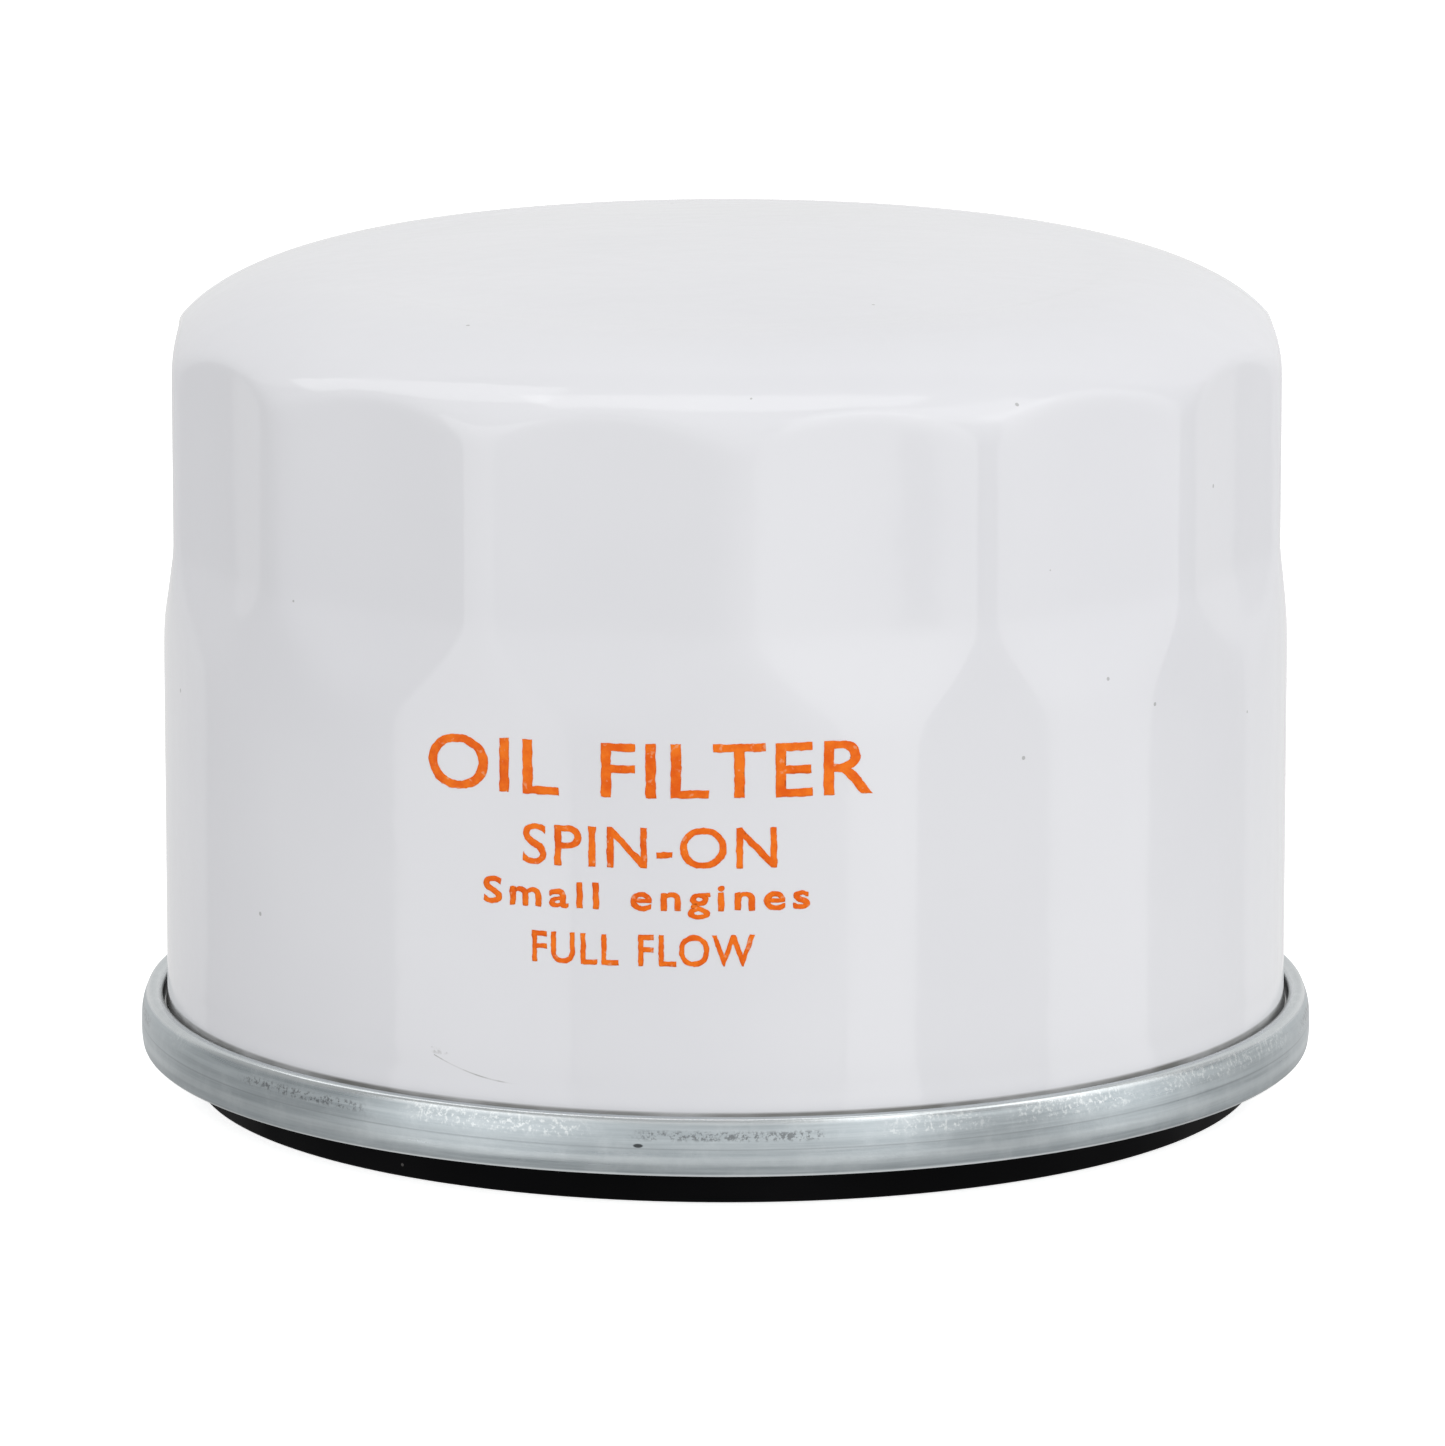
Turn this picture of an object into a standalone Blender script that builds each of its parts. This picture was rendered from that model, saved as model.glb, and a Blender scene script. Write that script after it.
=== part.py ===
"""Spin-on oil filter for a small engine, standing on its gasket with the dome up.

Frame: metres, +Z is the filter's axis and points to the dome, the origin is on that axis in the
plane of the gasket's sealing face. Every sheet, gap and height below is a size of its own, and
each piece takes its place from the piece that it seats on plus a named clearance.
"""

from math import cos, pi, radians, sin, sqrt

import bmesh
import bpy
from mathutils import Matrix, Vector

MM = 0.001

# Clearances
TOUCH_GAP = 0.3 * MM          # left between two pieces that touch
WRAP_GAP = 0.4 * MM           # beside rubber and inside the rolled seam

# Can: a deep-drawn shell with a soft shoulder, a low dome and pressed wrench flats
CAN_OUTER_R = 36.4 * MM
CAN_SHEET = 0.5 * MM
FILTER_HEIGHT = 54.75 * MM
SHOULDER_HEIGHT = 6.35 * MM
SHOULDER_REACH = 12.3 * MM
DOME_CROWN = 1.1 * MM
FLAT_COUNT = 14
FLAT_APOTHEM_DROP = 0.9 * MM  # how far a flat's middle lies inside the can's wall
RIDGE_DROP = 0.22 * MM        # how far a ridge between two flats lies inside it
FLAT_FADE_START_Z = 29.4 * MM
FLAT_FADE_LENGTH = 5.7 * MM
FIRST_FLAT_DEG = -12.0        # a flat's middle, from the front, -Y, towards +X

# Rolled seam and lid
SEAM_WIDTH = 1.7 * MM          # how far it stands out from the can's wall
SEAM_BOTTOM_Z = 2.5 * MM
SEAM_HEIGHT = 3.7 * MM
SEAM_ROUND = 1.2 * MM
CAN_HOOK_LENGTH = 1.6 * MM
LID_SHEET = 0.5 * MM
LID_FLANGE_WIDTH = 4.6 * MM
LID_RECESS_Z = 2.6 * MM       # height of the lid's inner flange above the sealing face

# Gasket
GASKET_WIDTH = 3.6 * MM
GASKET_HEIGHT = 5.6 * MM
GASKET_CHAMFER = 0.35 * MM

# Base plate with the threaded hub
BASE_THICKNESS = 2.7 * MM
BASE_RIM_THICKNESS = 2.5 * MM
BASE_RIM_STEP = 2.5 * MM      # width of the step up to the rim
THREAD_MINOR_R = 9.19 * MM    # M20 x 1.5
HUB_WALL = 3.0 * MM
HUB_HEIGHT = 6.4 * MM         # above the plate's inner face
HUB_LEAD_IN = 0.8 * MM
INLET_COUNT = 8
INLET_R = 2.75 * MM

# Anti-drainback valve
VALVE_COLLAR_WALL = 1.9 * MM
VALVE_COLLAR_ABOVE_HUB = 0.7 * MM
VALVE_COLLAR_LENGTH = 3.6 * MM
VALVE_LIP_GAP = 1.3 * MM      # from the lip's edge to the step of the plate
VALVE_LIP_THICKNESS = 1.1 * MM
VALVE_LIP_LAND = 1.0 * MM

# Element: end caps, centre tube, paper, adhesive
CAP_SHEET = 0.5 * MM
ELEMENT_SIDE_GAP = 3.4 * MM   # oil's way between the caps and the can's flats
ELEMENT_HEADROOM = 5.55 * MM  # from the upper cap to the dome's underside, on the axis
CAP_RIM_HEIGHT = 2.0 * MM
CAP_NECK_HEIGHT = 2.0 * MM
STUD_CLEARANCE = 1.91 * MM    # from the thread's minor radius to the lower cap's neck
TUBE_SHEET = 0.5 * MM
TUBE_HOLE_R = 1.8 * MM
TUBE_HOLE_ROWS = 5
TUBE_HOLES_PER_ROW = 6
POTTING_THICKNESS = 0.9 * MM
PAPER_SHEET = 0.45 * MM
PLEAT_COUNT = 36
PLEAT_TIP_WIDTH = 0.9 * MM
CLIP_SHEET = 0.3 * MM
CLIP_DEPTH = 4.2 * MM

# Bypass valve
SEAT_SHEET = 0.5 * MM
SEAT_NECK_OUTER_R = 8.6 * MM
SEAT_FLANGE_WIDTH = 2.9 * MM
SEAT_DEPTH = 3.8 * MM
PORT_R = 4.6 * MM
BYPASS_SEAL_OVERLAP = 1.6 * MM
BYPASS_SEAL_THICKNESS = 1.0 * MM
POPPET_RIM = 0.2 * MM         # how far the poppet stands out beyond its seal
POPPET_SHEET = 0.8 * MM
POPPET_STEM_R = 1.4 * MM
POPPET_NECK_R = 2.1 * MM
POPPET_HEAD_R = 3.0 * MM
POPPET_HEAD_HEIGHT = 0.5 * MM
CAGE_SHEET = 0.5 * MM
CAGE_LENGTH = 13.9 * MM
CAGE_WINDOWS = 4
CAGE_WINDOW_WIDTH = 7.0 * MM
CAGE_WINDOW_HEIGHT = 7.0 * MM
COIL_MEAN_R = 4.4 * MM
COIL_WIRE_R = 0.45 * MM
COIL_TURNS = 5
STEM_BELOW_CAGE = 1.2 * MM

# Element spring under the dome
LEAF_SHEET = 0.6 * MM
LEAF_RING_WIDTH = 4.6 * MM
LEAF_REACH = 8.5 * MM
LEAF_COUNT = 6
LEAF_SLOT_WIDTH = 7.0 * MM

# Facets
LARGE_STEPS = 44
SMALL_STEPS = 24
STEPS_PER_FLAT = 5
SHOULDER_STEPS = 5
FADE_STEPS = 2

# Levels and radii that follow
CAN_INNER_R = CAN_OUTER_R - CAN_SHEET
SHOULDER_START_Z = FILTER_HEIGHT - DOME_CROWN - SHOULDER_HEIGHT
SEAM_OUTER_R = CAN_OUTER_R + SEAM_WIDTH
LID_WALL_OUTER_R = CAN_INNER_R - WRAP_GAP
LID_WALL_INNER_R = LID_WALL_OUTER_R - LID_SHEET
GASKET_OUTER_R = LID_WALL_INNER_R - WRAP_GAP
GASKET_INNER_R = GASKET_OUTER_R - GASKET_WIDTH
SEAM_TOP_Z = SEAM_BOTTOM_Z + SEAM_HEIGHT
LID_FLOOR_Z = GASKET_HEIGHT + TOUCH_GAP
LID_BACK_Z = LID_FLOOR_Z + LID_SHEET
LID_LAND_OUTER_R = GASKET_INNER_R - WRAP_GAP
LID_LAND_INNER_R = LID_LAND_OUTER_R - LID_SHEET
LID_OPENING_R = LID_LAND_INNER_R - LID_FLANGE_WIDTH
CAN_FLANGE_TOP_Z = SEAM_TOP_Z - LID_SHEET - WRAP_GAP
CAN_FLANGE_BOTTOM_Z = CAN_FLANGE_TOP_Z - CAN_SHEET
CAN_HOOK_OUTER_R = SEAM_OUTER_R - LID_SHEET - WRAP_GAP - 0.15 * MM
BASE_BOTTOM_Z = LID_RECESS_Z + LID_SHEET + TOUCH_GAP
BASE_TOP_Z = BASE_BOTTOM_Z + BASE_THICKNESS
BASE_RIM_BOTTOM_Z = LID_BACK_Z + TOUCH_GAP
BASE_RIM_TOP_Z = BASE_RIM_BOTTOM_Z + BASE_RIM_THICKNESS
BASE_STEP_OUTER_R = LID_LAND_INNER_R - TOUCH_GAP
BASE_STEP_INNER_R = BASE_STEP_OUTER_R - BASE_RIM_STEP
BASE_RIM_R = CAN_INNER_R - WRAP_GAP
HUB_OUTER_R = THREAD_MINOR_R + HUB_WALL
HUB_TOP_Z = BASE_TOP_Z + HUB_HEIGHT
VALVE_TOP_Z = HUB_TOP_Z + VALVE_COLLAR_ABOVE_HUB
VALVE_INNER_R = HUB_OUTER_R + TOUCH_GAP
VALVE_COLLAR_OUTER_R = VALVE_INNER_R + VALVE_COLLAR_WALL
VALVE_LIP_R = BASE_STEP_INNER_R - VALVE_LIP_GAP
INLET_CIRCLE_R = (VALVE_COLLAR_OUTER_R + VALVE_LIP_R - VALVE_LIP_LAND) / 2
CAP_NECK_OUTER_R = THREAD_MINOR_R + STUD_CLEARANCE + CAP_SHEET
CAP_OUTER_R = CAN_INNER_R - FLAT_APOTHEM_DROP - ELEMENT_SIDE_GAP
LOWER_CAP_Z = VALVE_TOP_Z + TOUCH_GAP
LOWER_CAP_TOP_Z = LOWER_CAP_Z + CAP_SHEET
LOWER_POTTING_Z = LOWER_CAP_TOP_Z + TOUCH_GAP
PAPER_BOTTOM_Z = LOWER_POTTING_Z + POTTING_THICKNESS + TOUCH_GAP
UPPER_CAP_TOP_Z = FILTER_HEIGHT - CAN_SHEET - ELEMENT_HEADROOM
UPPER_CAP_Z = UPPER_CAP_TOP_Z - CAP_SHEET
UPPER_POTTING_TOP_Z = UPPER_CAP_Z - TOUCH_GAP
UPPER_POTTING_Z = UPPER_POTTING_TOP_Z - POTTING_THICKNESS
PAPER_TOP_Z = UPPER_POTTING_Z - TOUCH_GAP
PAPER_LENGTH = PAPER_TOP_Z - PAPER_BOTTOM_Z
TUBE_INNER_R = CAP_NECK_OUTER_R + TOUCH_GAP
TUBE_OUTER_R = TUBE_INNER_R + TUBE_SHEET
PAPER_INNER_R = TUBE_OUTER_R + 2 * TOUCH_GAP
PAPER_OUTER_R = CAP_OUTER_R - CAP_SHEET - CLIP_SHEET - 2 * TOUCH_GAP
SEAT_FLANGE_R = SEAT_NECK_OUTER_R + SEAT_FLANGE_WIDTH
BYPASS_SEAL_R = PORT_R + BYPASS_SEAL_OVERLAP
SEAT_FLANGE_Z = UPPER_CAP_TOP_Z + TOUCH_GAP
SEAT_TOP_Z = SEAT_FLANGE_Z + SEAT_SHEET
SEAT_BOTTOM_Z = SEAT_TOP_Z - SEAT_DEPTH
SEAL_TOP_Z = SEAT_BOTTOM_Z - TOUCH_GAP
SEAL_BOTTOM_Z = SEAL_TOP_Z - BYPASS_SEAL_THICKNESS
POPPET_TOP_Z = SEAL_BOTTOM_Z - TOUCH_GAP
POPPET_BOTTOM_Z = POPPET_TOP_Z - POPPET_SHEET
CAGE_INNER_R = SEAT_NECK_OUTER_R + TOUCH_GAP
CAGE_OUTER_R = CAGE_INNER_R + CAGE_SHEET
CAGE_TOP_Z = UPPER_CAP_Z - TOUCH_GAP
CAGE_BOTTOM_Z = CAGE_TOP_Z - CAGE_LENGTH
CAGE_FLOOR_Z = CAGE_BOTTOM_Z + CAGE_SHEET
LEAF_RING_INNER_R = SEAT_FLANGE_R + 3 * TOUCH_GAP
LEAF_RING_OUTER_R = LEAF_RING_INNER_R + LEAF_RING_WIDTH
LEAF_TIP_R = LEAF_RING_OUTER_R + LEAF_REACH


def clear_scene():
    for item in list(bpy.data.objects):
        bpy.data.objects.remove(item, do_unlink=True)


def principled(name, colour, roughness, metallic):
    """A Principled BSDF material of one colour."""
    made = bpy.data.materials.new(name)
    made.use_nodes = True
    shader = made.node_tree.nodes["Principled BSDF"]
    shader.inputs["Base Color"].default_value = (*colour, 1.0)
    shader.inputs["Roughness"].default_value = roughness
    shader.inputs["Metallic"].default_value = metallic
    return made


def finish(name, mesh_data, material, parent=None):
    """Turns a bmesh into a smooth-shaded object, under an empty when it moves with one."""
    bmesh.ops.recalc_face_normals(mesh_data, faces=mesh_data.faces)
    mesh = bpy.data.meshes.new(name)
    mesh_data.to_mesh(mesh)
    mesh_data.free()
    mesh.shade_smooth()
    mesh.set_sharp_from_angle(angle=radians(35))
    mesh.materials.append(material)
    made = bpy.data.objects.new(name, mesh)
    bpy.context.scene.collection.objects.link(made)
    if parent:
        made.parent = parent
        made.matrix_parent_inverse = parent.matrix_world.inverted()
    return made


def empty_at(name, height, parent=None):
    """An empty on the axis, for pieces that slide along it together."""
    made = bpy.data.objects.new(name, None)
    made.matrix_world = Matrix.Translation((0.0, 0.0, height))
    bpy.context.scene.collection.objects.link(made)
    if parent:
        made.parent = parent
        made.matrix_parent_inverse = parent.matrix_world.inverted()
        bpy.context.view_layer.update()
    return made


def turned(profile, steps, first_angle=0.0, radius_at=None):
    """A closed profile of (radius, height) points turned about Z. A radius of 0 is a pole.

    radius_at(index, radius, height, angle) may give a point another radius at each angle.
    """
    made = bmesh.new()
    rings = []
    for index, (radius, height) in enumerate(profile):
        if radius == 0:
            rings.append([made.verts.new((0.0, 0.0, height))])
            continue
        ring = []
        for step in range(steps):
            angle = first_angle + 2 * pi * step / steps
            there = radius_at(index, radius, height, angle) if radius_at else radius
            ring.append(made.verts.new((there * sin(angle), -there * cos(angle), height)))
        rings.append(ring)
    for low, high in zip(rings, rings[1:] + rings[:1]):
        join_rings(made, low, high)
    return made


def join_rings(made, low, high):
    """Faces between two neighbouring rings, either of which may be a single pole."""
    steps = max(len(low), len(high))
    if steps == 1:
        return
    for step in range(steps):
        after = (step + 1) % steps
        corners = [low[step % len(low)], low[after % len(low)]]
        corners += [high[after % len(high)], high[step % len(high)]]
        made.faces.new(list(dict.fromkeys(corners)))


def cutter(name, mesh_data):
    made = finish(name, mesh_data, bpy.data.materials["bare_steel"])
    made.hide_render = True
    made.display_type = "WIRE"
    return made


def cut(target, tool):
    """Subtracts tool from target with a Boolean modifier."""
    modifier = target.modifiers.new("cut_" + tool.name, "BOOLEAN")
    modifier.operation = "DIFFERENCE"
    modifier.solver = "EXACT"
    modifier.object = tool


def add_cylinder(made, radius, length, place, steps):
    """Adds a closed cylinder, along the Z of the matrix place, to a bmesh."""
    bmesh.ops.create_cone(
        made, cap_ends=True, cap_tris=False, segments=steps,
        radius1=radius, radius2=radius, depth=length, matrix=place,
    )


def add_box(made, size, place):
    scale = Matrix.Diagonal((*size, 1.0))
    bmesh.ops.create_cube(made, size=1.0, matrix=place @ scale)


def shoulder(radius_in, sheet):
    """Points of the shoulder and the dome, from the wall to the pole, for one side of the sheet."""
    points = []
    reach = SHOULDER_REACH
    rise = SHOULDER_HEIGHT - sheet
    for step in range(SHOULDER_STEPS + 1):
        angle = (pi / 2) * step / SHOULDER_STEPS
        across = radius_in - reach + reach * cos(angle)
        points.append((across, SHOULDER_START_Z + rise * sin(angle)))
    edge_r, edge_z = points[-1]
    half_way = edge_r / 2
    points.append((half_way, edge_z + DOME_CROWN * (1 - (half_way / edge_r) ** 2)))
    points.append((0, edge_z + DOME_CROWN))
    return points


def dome_underside(radius):
    """Height of the dome's inner face at a radius."""
    reach = SHOULDER_REACH
    edge_r = CAN_INNER_R - reach
    edge_z = SHOULDER_START_Z + SHOULDER_HEIGHT - CAN_SHEET
    if radius <= edge_r:
        return edge_z + DOME_CROWN * (1 - (radius / edge_r) ** 2)
    across = (radius - edge_r) / reach
    return SHOULDER_START_Z + (SHOULDER_HEIGHT - CAN_SHEET) * sqrt(1 - across * across)


def wall_levels():
    """Heights of the wall's rings, where the flats fade in."""
    return [FLAT_FADE_START_Z + FLAT_FADE_LENGTH * step / FADE_STEPS for step in range(FADE_STEPS + 1)]


def flat_radius(radius, height, angle, inset):
    """A wall point's radius once the wrench flats are pressed in. inset is 0 outside, or the sheet."""
    pitch = 2 * pi / FLAT_COUNT
    off_flat = (angle - radians(FIRST_FLAT_DEG) + pitch / 2) % pitch - pitch / 2
    apothem = CAN_OUTER_R - FLAT_APOTHEM_DROP - inset
    ridge = CAN_OUTER_R - RIDGE_DROP - inset
    pressed = min(radius, ridge, apothem / cos(off_flat))
    share = min(1.0, max(0.0, (height - FLAT_FADE_START_Z) / FLAT_FADE_LENGTH))
    eased = share * share * (3 - 2 * share)
    return radius + (pressed - radius) * eased


def make_can(material):
    hook_in_r = CAN_HOOK_OUTER_R - CAN_SHEET
    hook_z = CAN_FLANGE_TOP_Z - CAN_HOOK_LENGTH
    hook_round = 0.25 * MM
    outer = [
        (hook_in_r, hook_z),
        (CAN_HOOK_OUTER_R, hook_z),
        (CAN_HOOK_OUTER_R, CAN_FLANGE_TOP_Z - hook_round),
        (CAN_HOOK_OUTER_R - hook_round, CAN_FLANGE_TOP_Z),
        (CAN_OUTER_R, CAN_FLANGE_TOP_Z),
    ]
    outer += [(CAN_OUTER_R, height) for height in wall_levels()]
    outer += shoulder(CAN_OUTER_R, 0.0)
    inner = shoulder(CAN_INNER_R, CAN_SHEET)[::-1]
    inner += [(CAN_INNER_R, height) for height in reversed(wall_levels())]
    inner += [(CAN_INNER_R, CAN_FLANGE_BOTTOM_Z), (hook_in_r, CAN_FLANGE_BOTTOM_Z)]
    outer_points = len(outer)

    def pressed(index, radius, height, angle):
        return flat_radius(radius, height, angle, 0.0 if index < outer_points else CAN_SHEET)

    steps = FLAT_COUNT * STEPS_PER_FLAT
    first = radians(FIRST_FLAT_DEG) - pi / FLAT_COUNT * (1 - 1 / STEPS_PER_FLAT)
    return finish("can", turned(outer + inner, steps, first, pressed), material)


def make_lid(material):
    """The zinc-plated lid: inner flange, gasket channel and the hook rolled over the can's flange."""
    top_z, bottom_z = SEAM_TOP_Z, SEAM_BOTTOM_Z
    mouth_r = CAN_OUTER_R + TOUCH_GAP
    middle_z = (top_z + bottom_z) / 2
    outside = [
        (LID_OPENING_R, LID_RECESS_Z),
        (LID_LAND_OUTER_R, LID_RECESS_Z),
        (LID_LAND_OUTER_R, LID_FLOOR_Z),
        (LID_WALL_INNER_R, LID_FLOOR_Z),
        (LID_WALL_INNER_R, bottom_z),
        (SEAM_OUTER_R - SEAM_ROUND, bottom_z),
        (SEAM_OUTER_R - 0.3 * SEAM_ROUND, bottom_z + 0.35 * SEAM_ROUND),
        (SEAM_OUTER_R, middle_z),
        (SEAM_OUTER_R - 0.2 * SEAM_ROUND, top_z - 0.7 * SEAM_ROUND),
        (SEAM_OUTER_R - 0.65 * SEAM_ROUND, top_z - 0.2 * SEAM_ROUND),
        (mouth_r, top_z),
    ]
    inside = [
        (mouth_r, top_z - LID_SHEET),
        (SEAM_OUTER_R - LID_SHEET - 0.45 * SEAM_ROUND, top_z - LID_SHEET - 0.1 * SEAM_ROUND),
        (SEAM_OUTER_R - LID_SHEET, middle_z),
        (SEAM_OUTER_R - LID_SHEET, bottom_z + LID_SHEET),
        (LID_WALL_OUTER_R, bottom_z + LID_SHEET),
        (LID_WALL_OUTER_R, LID_BACK_Z),
        (LID_LAND_INNER_R, LID_BACK_Z),
        (LID_LAND_INNER_R, LID_RECESS_Z + LID_SHEET),
        (LID_OPENING_R, LID_RECESS_Z + LID_SHEET),
    ]
    return finish("seaming_lid", turned(outside + inside, LARGE_STEPS), material)


def make_seam_compound(material):
    inner_r = LID_WALL_OUTER_R + WRAP_GAP
    outer_r = CAN_HOOK_OUTER_R - CAN_SHEET - TOUCH_GAP
    bottom_z = SEAM_BOTTOM_Z + LID_SHEET + TOUCH_GAP
    top_z = CAN_FLANGE_BOTTOM_Z - TOUCH_GAP
    return finish("seam_compound", turned(ring(inner_r, outer_r, bottom_z, top_z), LARGE_STEPS), material)


def ring(inner_r, outer_r, bottom_z, top_z):
    """The profile of a plain ring."""
    return [(inner_r, bottom_z), (outer_r, bottom_z), (outer_r, top_z), (inner_r, top_z)]


def make_gasket(material):
    chamfer = GASKET_CHAMFER
    profile = [
        (GASKET_INNER_R + chamfer, 0.0),
        (GASKET_OUTER_R - chamfer, 0.0),
        (GASKET_OUTER_R, chamfer),
        (GASKET_OUTER_R, GASKET_HEIGHT),
        (GASKET_INNER_R, GASKET_HEIGHT),
        (GASKET_INNER_R, chamfer),
    ]
    return finish("sealing_gasket", turned(profile, LARGE_STEPS), material)


def make_base_plate(material):
    profile = [
        (THREAD_MINOR_R + HUB_LEAD_IN, BASE_BOTTOM_Z),
        (BASE_STEP_OUTER_R, BASE_BOTTOM_Z),
        (BASE_STEP_OUTER_R, BASE_RIM_BOTTOM_Z),
        (BASE_RIM_R, BASE_RIM_BOTTOM_Z),
        (BASE_RIM_R, BASE_RIM_TOP_Z),
        (BASE_STEP_INNER_R, BASE_RIM_TOP_Z),
        (BASE_STEP_INNER_R, BASE_TOP_Z),
        (HUB_OUTER_R, BASE_TOP_Z),
        (HUB_OUTER_R, HUB_TOP_Z),
        (THREAD_MINOR_R, HUB_TOP_Z),
        (THREAD_MINOR_R, BASE_BOTTOM_Z + HUB_LEAD_IN),
    ]
    plate = finish("base_plate", turned(profile, LARGE_STEPS), material)
    holes = bmesh.new()
    middle_z = (BASE_BOTTOM_Z + BASE_TOP_Z) / 2
    for index in range(INLET_COUNT):
        turn = Matrix.Rotation(2 * pi * index / INLET_COUNT, 4, "Z")
        place = turn @ Matrix.Translation((0.0, -INLET_CIRCLE_R, middle_z))
        add_cylinder(holes, INLET_R, 3 * BASE_THICKNESS, place, 16)
    cut(plate, cutter("inlet_holes_cutter", holes))
    return plate


def make_anti_drainback_valve(material):
    """The rubber diaphragm: a collar round the hub and a cone whose lip lies on the plate."""
    seat_z = BASE_TOP_Z + TOUCH_GAP
    collar_bottom_z = VALVE_TOP_Z - VALVE_COLLAR_LENGTH
    profile = [
        (VALVE_INNER_R, VALVE_TOP_Z),
        (VALVE_COLLAR_OUTER_R, VALVE_TOP_Z),
        (VALVE_COLLAR_OUTER_R, collar_bottom_z + VALVE_LIP_THICKNESS),
        (VALVE_LIP_R - 0.6 * VALVE_LIP_LAND, seat_z + VALVE_LIP_THICKNESS),
        (VALVE_LIP_R, seat_z + 0.3 * VALVE_LIP_THICKNESS),
        (VALVE_LIP_R, seat_z),
        (VALVE_LIP_R - VALVE_LIP_LAND, seat_z),
        (VALVE_COLLAR_OUTER_R - 0.3 * MM, collar_bottom_z),
        (VALVE_INNER_R, collar_bottom_z),
    ]
    return finish("anti_drainback_valve", turned(profile, LARGE_STEPS), material)


def make_lower_cap(material, parent):
    neck_in_r = CAP_NECK_OUTER_R - CAP_SHEET
    rim_in_r = CAP_OUTER_R - CAP_SHEET
    profile = [
        (neck_in_r, LOWER_CAP_Z),
        (CAP_OUTER_R, LOWER_CAP_Z),
        (CAP_OUTER_R, LOWER_CAP_TOP_Z + CAP_RIM_HEIGHT),
        (rim_in_r, LOWER_CAP_TOP_Z + CAP_RIM_HEIGHT),
        (rim_in_r, LOWER_CAP_TOP_Z),
        (CAP_NECK_OUTER_R, LOWER_CAP_TOP_Z),
        (CAP_NECK_OUTER_R, LOWER_CAP_TOP_Z + CAP_NECK_HEIGHT),
        (neck_in_r, LOWER_CAP_TOP_Z + CAP_NECK_HEIGHT),
    ]
    return finish("lower_end_cap", turned(profile, LARGE_STEPS), material, parent)


def make_upper_cap(material, parent):
    hole_r = SEAT_NECK_OUTER_R + TOUCH_GAP
    rim_in_r = CAP_OUTER_R - CAP_SHEET
    profile = [
        (hole_r, UPPER_CAP_Z),
        (rim_in_r, UPPER_CAP_Z),
        (rim_in_r, UPPER_CAP_Z - CAP_RIM_HEIGHT),
        (CAP_OUTER_R, UPPER_CAP_Z - CAP_RIM_HEIGHT),
        (CAP_OUTER_R, UPPER_CAP_TOP_Z),
        (hole_r, UPPER_CAP_TOP_Z),
    ]
    return finish("upper_end_cap", turned(profile, LARGE_STEPS), material, parent)


def make_potting(name, bottom_z, material, parent):
    """A ring of adhesive that bonds one end of the paper to its cap."""
    inner_r = TUBE_OUTER_R + TOUCH_GAP
    outer_r = CAP_OUTER_R - CAP_SHEET - TOUCH_GAP
    profile = ring(inner_r, outer_r, bottom_z, bottom_z + POTTING_THICKNESS)
    return finish(name, turned(profile, LARGE_STEPS), material, parent)


def make_centre_tube(material, parent):
    bottom_z = LOWER_POTTING_Z
    top_z = UPPER_POTTING_TOP_Z
    profile = ring(TUBE_INNER_R, TUBE_OUTER_R, bottom_z, top_z)
    tube = finish("centre_tube", turned(profile, SMALL_STEPS), material, parent)
    holes = bmesh.new()
    row_pitch = PAPER_LENGTH / TUBE_HOLE_ROWS
    middle_r = (TUBE_INNER_R + TUBE_OUTER_R) / 2
    for row in range(TUBE_HOLE_ROWS):
        height = PAPER_BOTTOM_Z + row_pitch * (row + 0.5)
        for index in range(TUBE_HOLES_PER_ROW):
            turn = 2 * pi * (index + 0.5 * (row % 2)) / TUBE_HOLES_PER_ROW
            place = Matrix.Rotation(turn, 4, "Z") @ Matrix.Translation((0.0, -middle_r, height))
            place = place @ Matrix.Rotation(pi / 2, 4, "X")
            add_cylinder(holes, TUBE_HOLE_R, 6 * TUBE_SHEET, place, 8)
    cut(tube, cutter("tube_holes_cutter", holes))
    return tube


def pleat_line():
    """Middle line of the folded paper strip, from one end round to the other, as (x, y) points."""
    outer_r = PAPER_OUTER_R - PAPER_SHEET / 2
    inner_r = PAPER_INNER_R + PAPER_SHEET / 2
    half_out = PLEAT_TIP_WIDTH / 2 / outer_r
    half_in = PLEAT_TIP_WIDTH / 2 / inner_r
    pitch = 2 * pi / PLEAT_COUNT
    polar = [(outer_r, half_out)]
    for index in range(PLEAT_COUNT):
        fold = (index + 0.5) * pitch
        polar += [(inner_r, fold - half_in), (inner_r, fold + half_in)]
        if index < PLEAT_COUNT - 1:
            tip = (index + 1) * pitch
            polar += [(outer_r, tip - half_out), (outer_r, tip + half_out)]
    polar.append((outer_r, 2 * pi - half_out))
    return [Vector((radius * sin(angle), radius * cos(angle))) for radius, angle in polar]


def offset_line(points, distance):
    """The line moved sideways by distance, with its corners kept sharp."""
    moved = []
    for index, point in enumerate(points):
        before = points[max(index - 1, 0)]
        after = points[min(index + 1, len(points) - 1)]
        first = (point - before) if index > 0 else (after - point)
        second = (after - point) if index < len(points) - 1 else first
        first_side = Vector((-first.y, first.x)).normalized()
        second_side = Vector((-second.y, second.x)).normalized()
        middle = (first_side + second_side).normalized()
        moved.append(point + middle * distance / middle.dot(first_side))
    return moved


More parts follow.
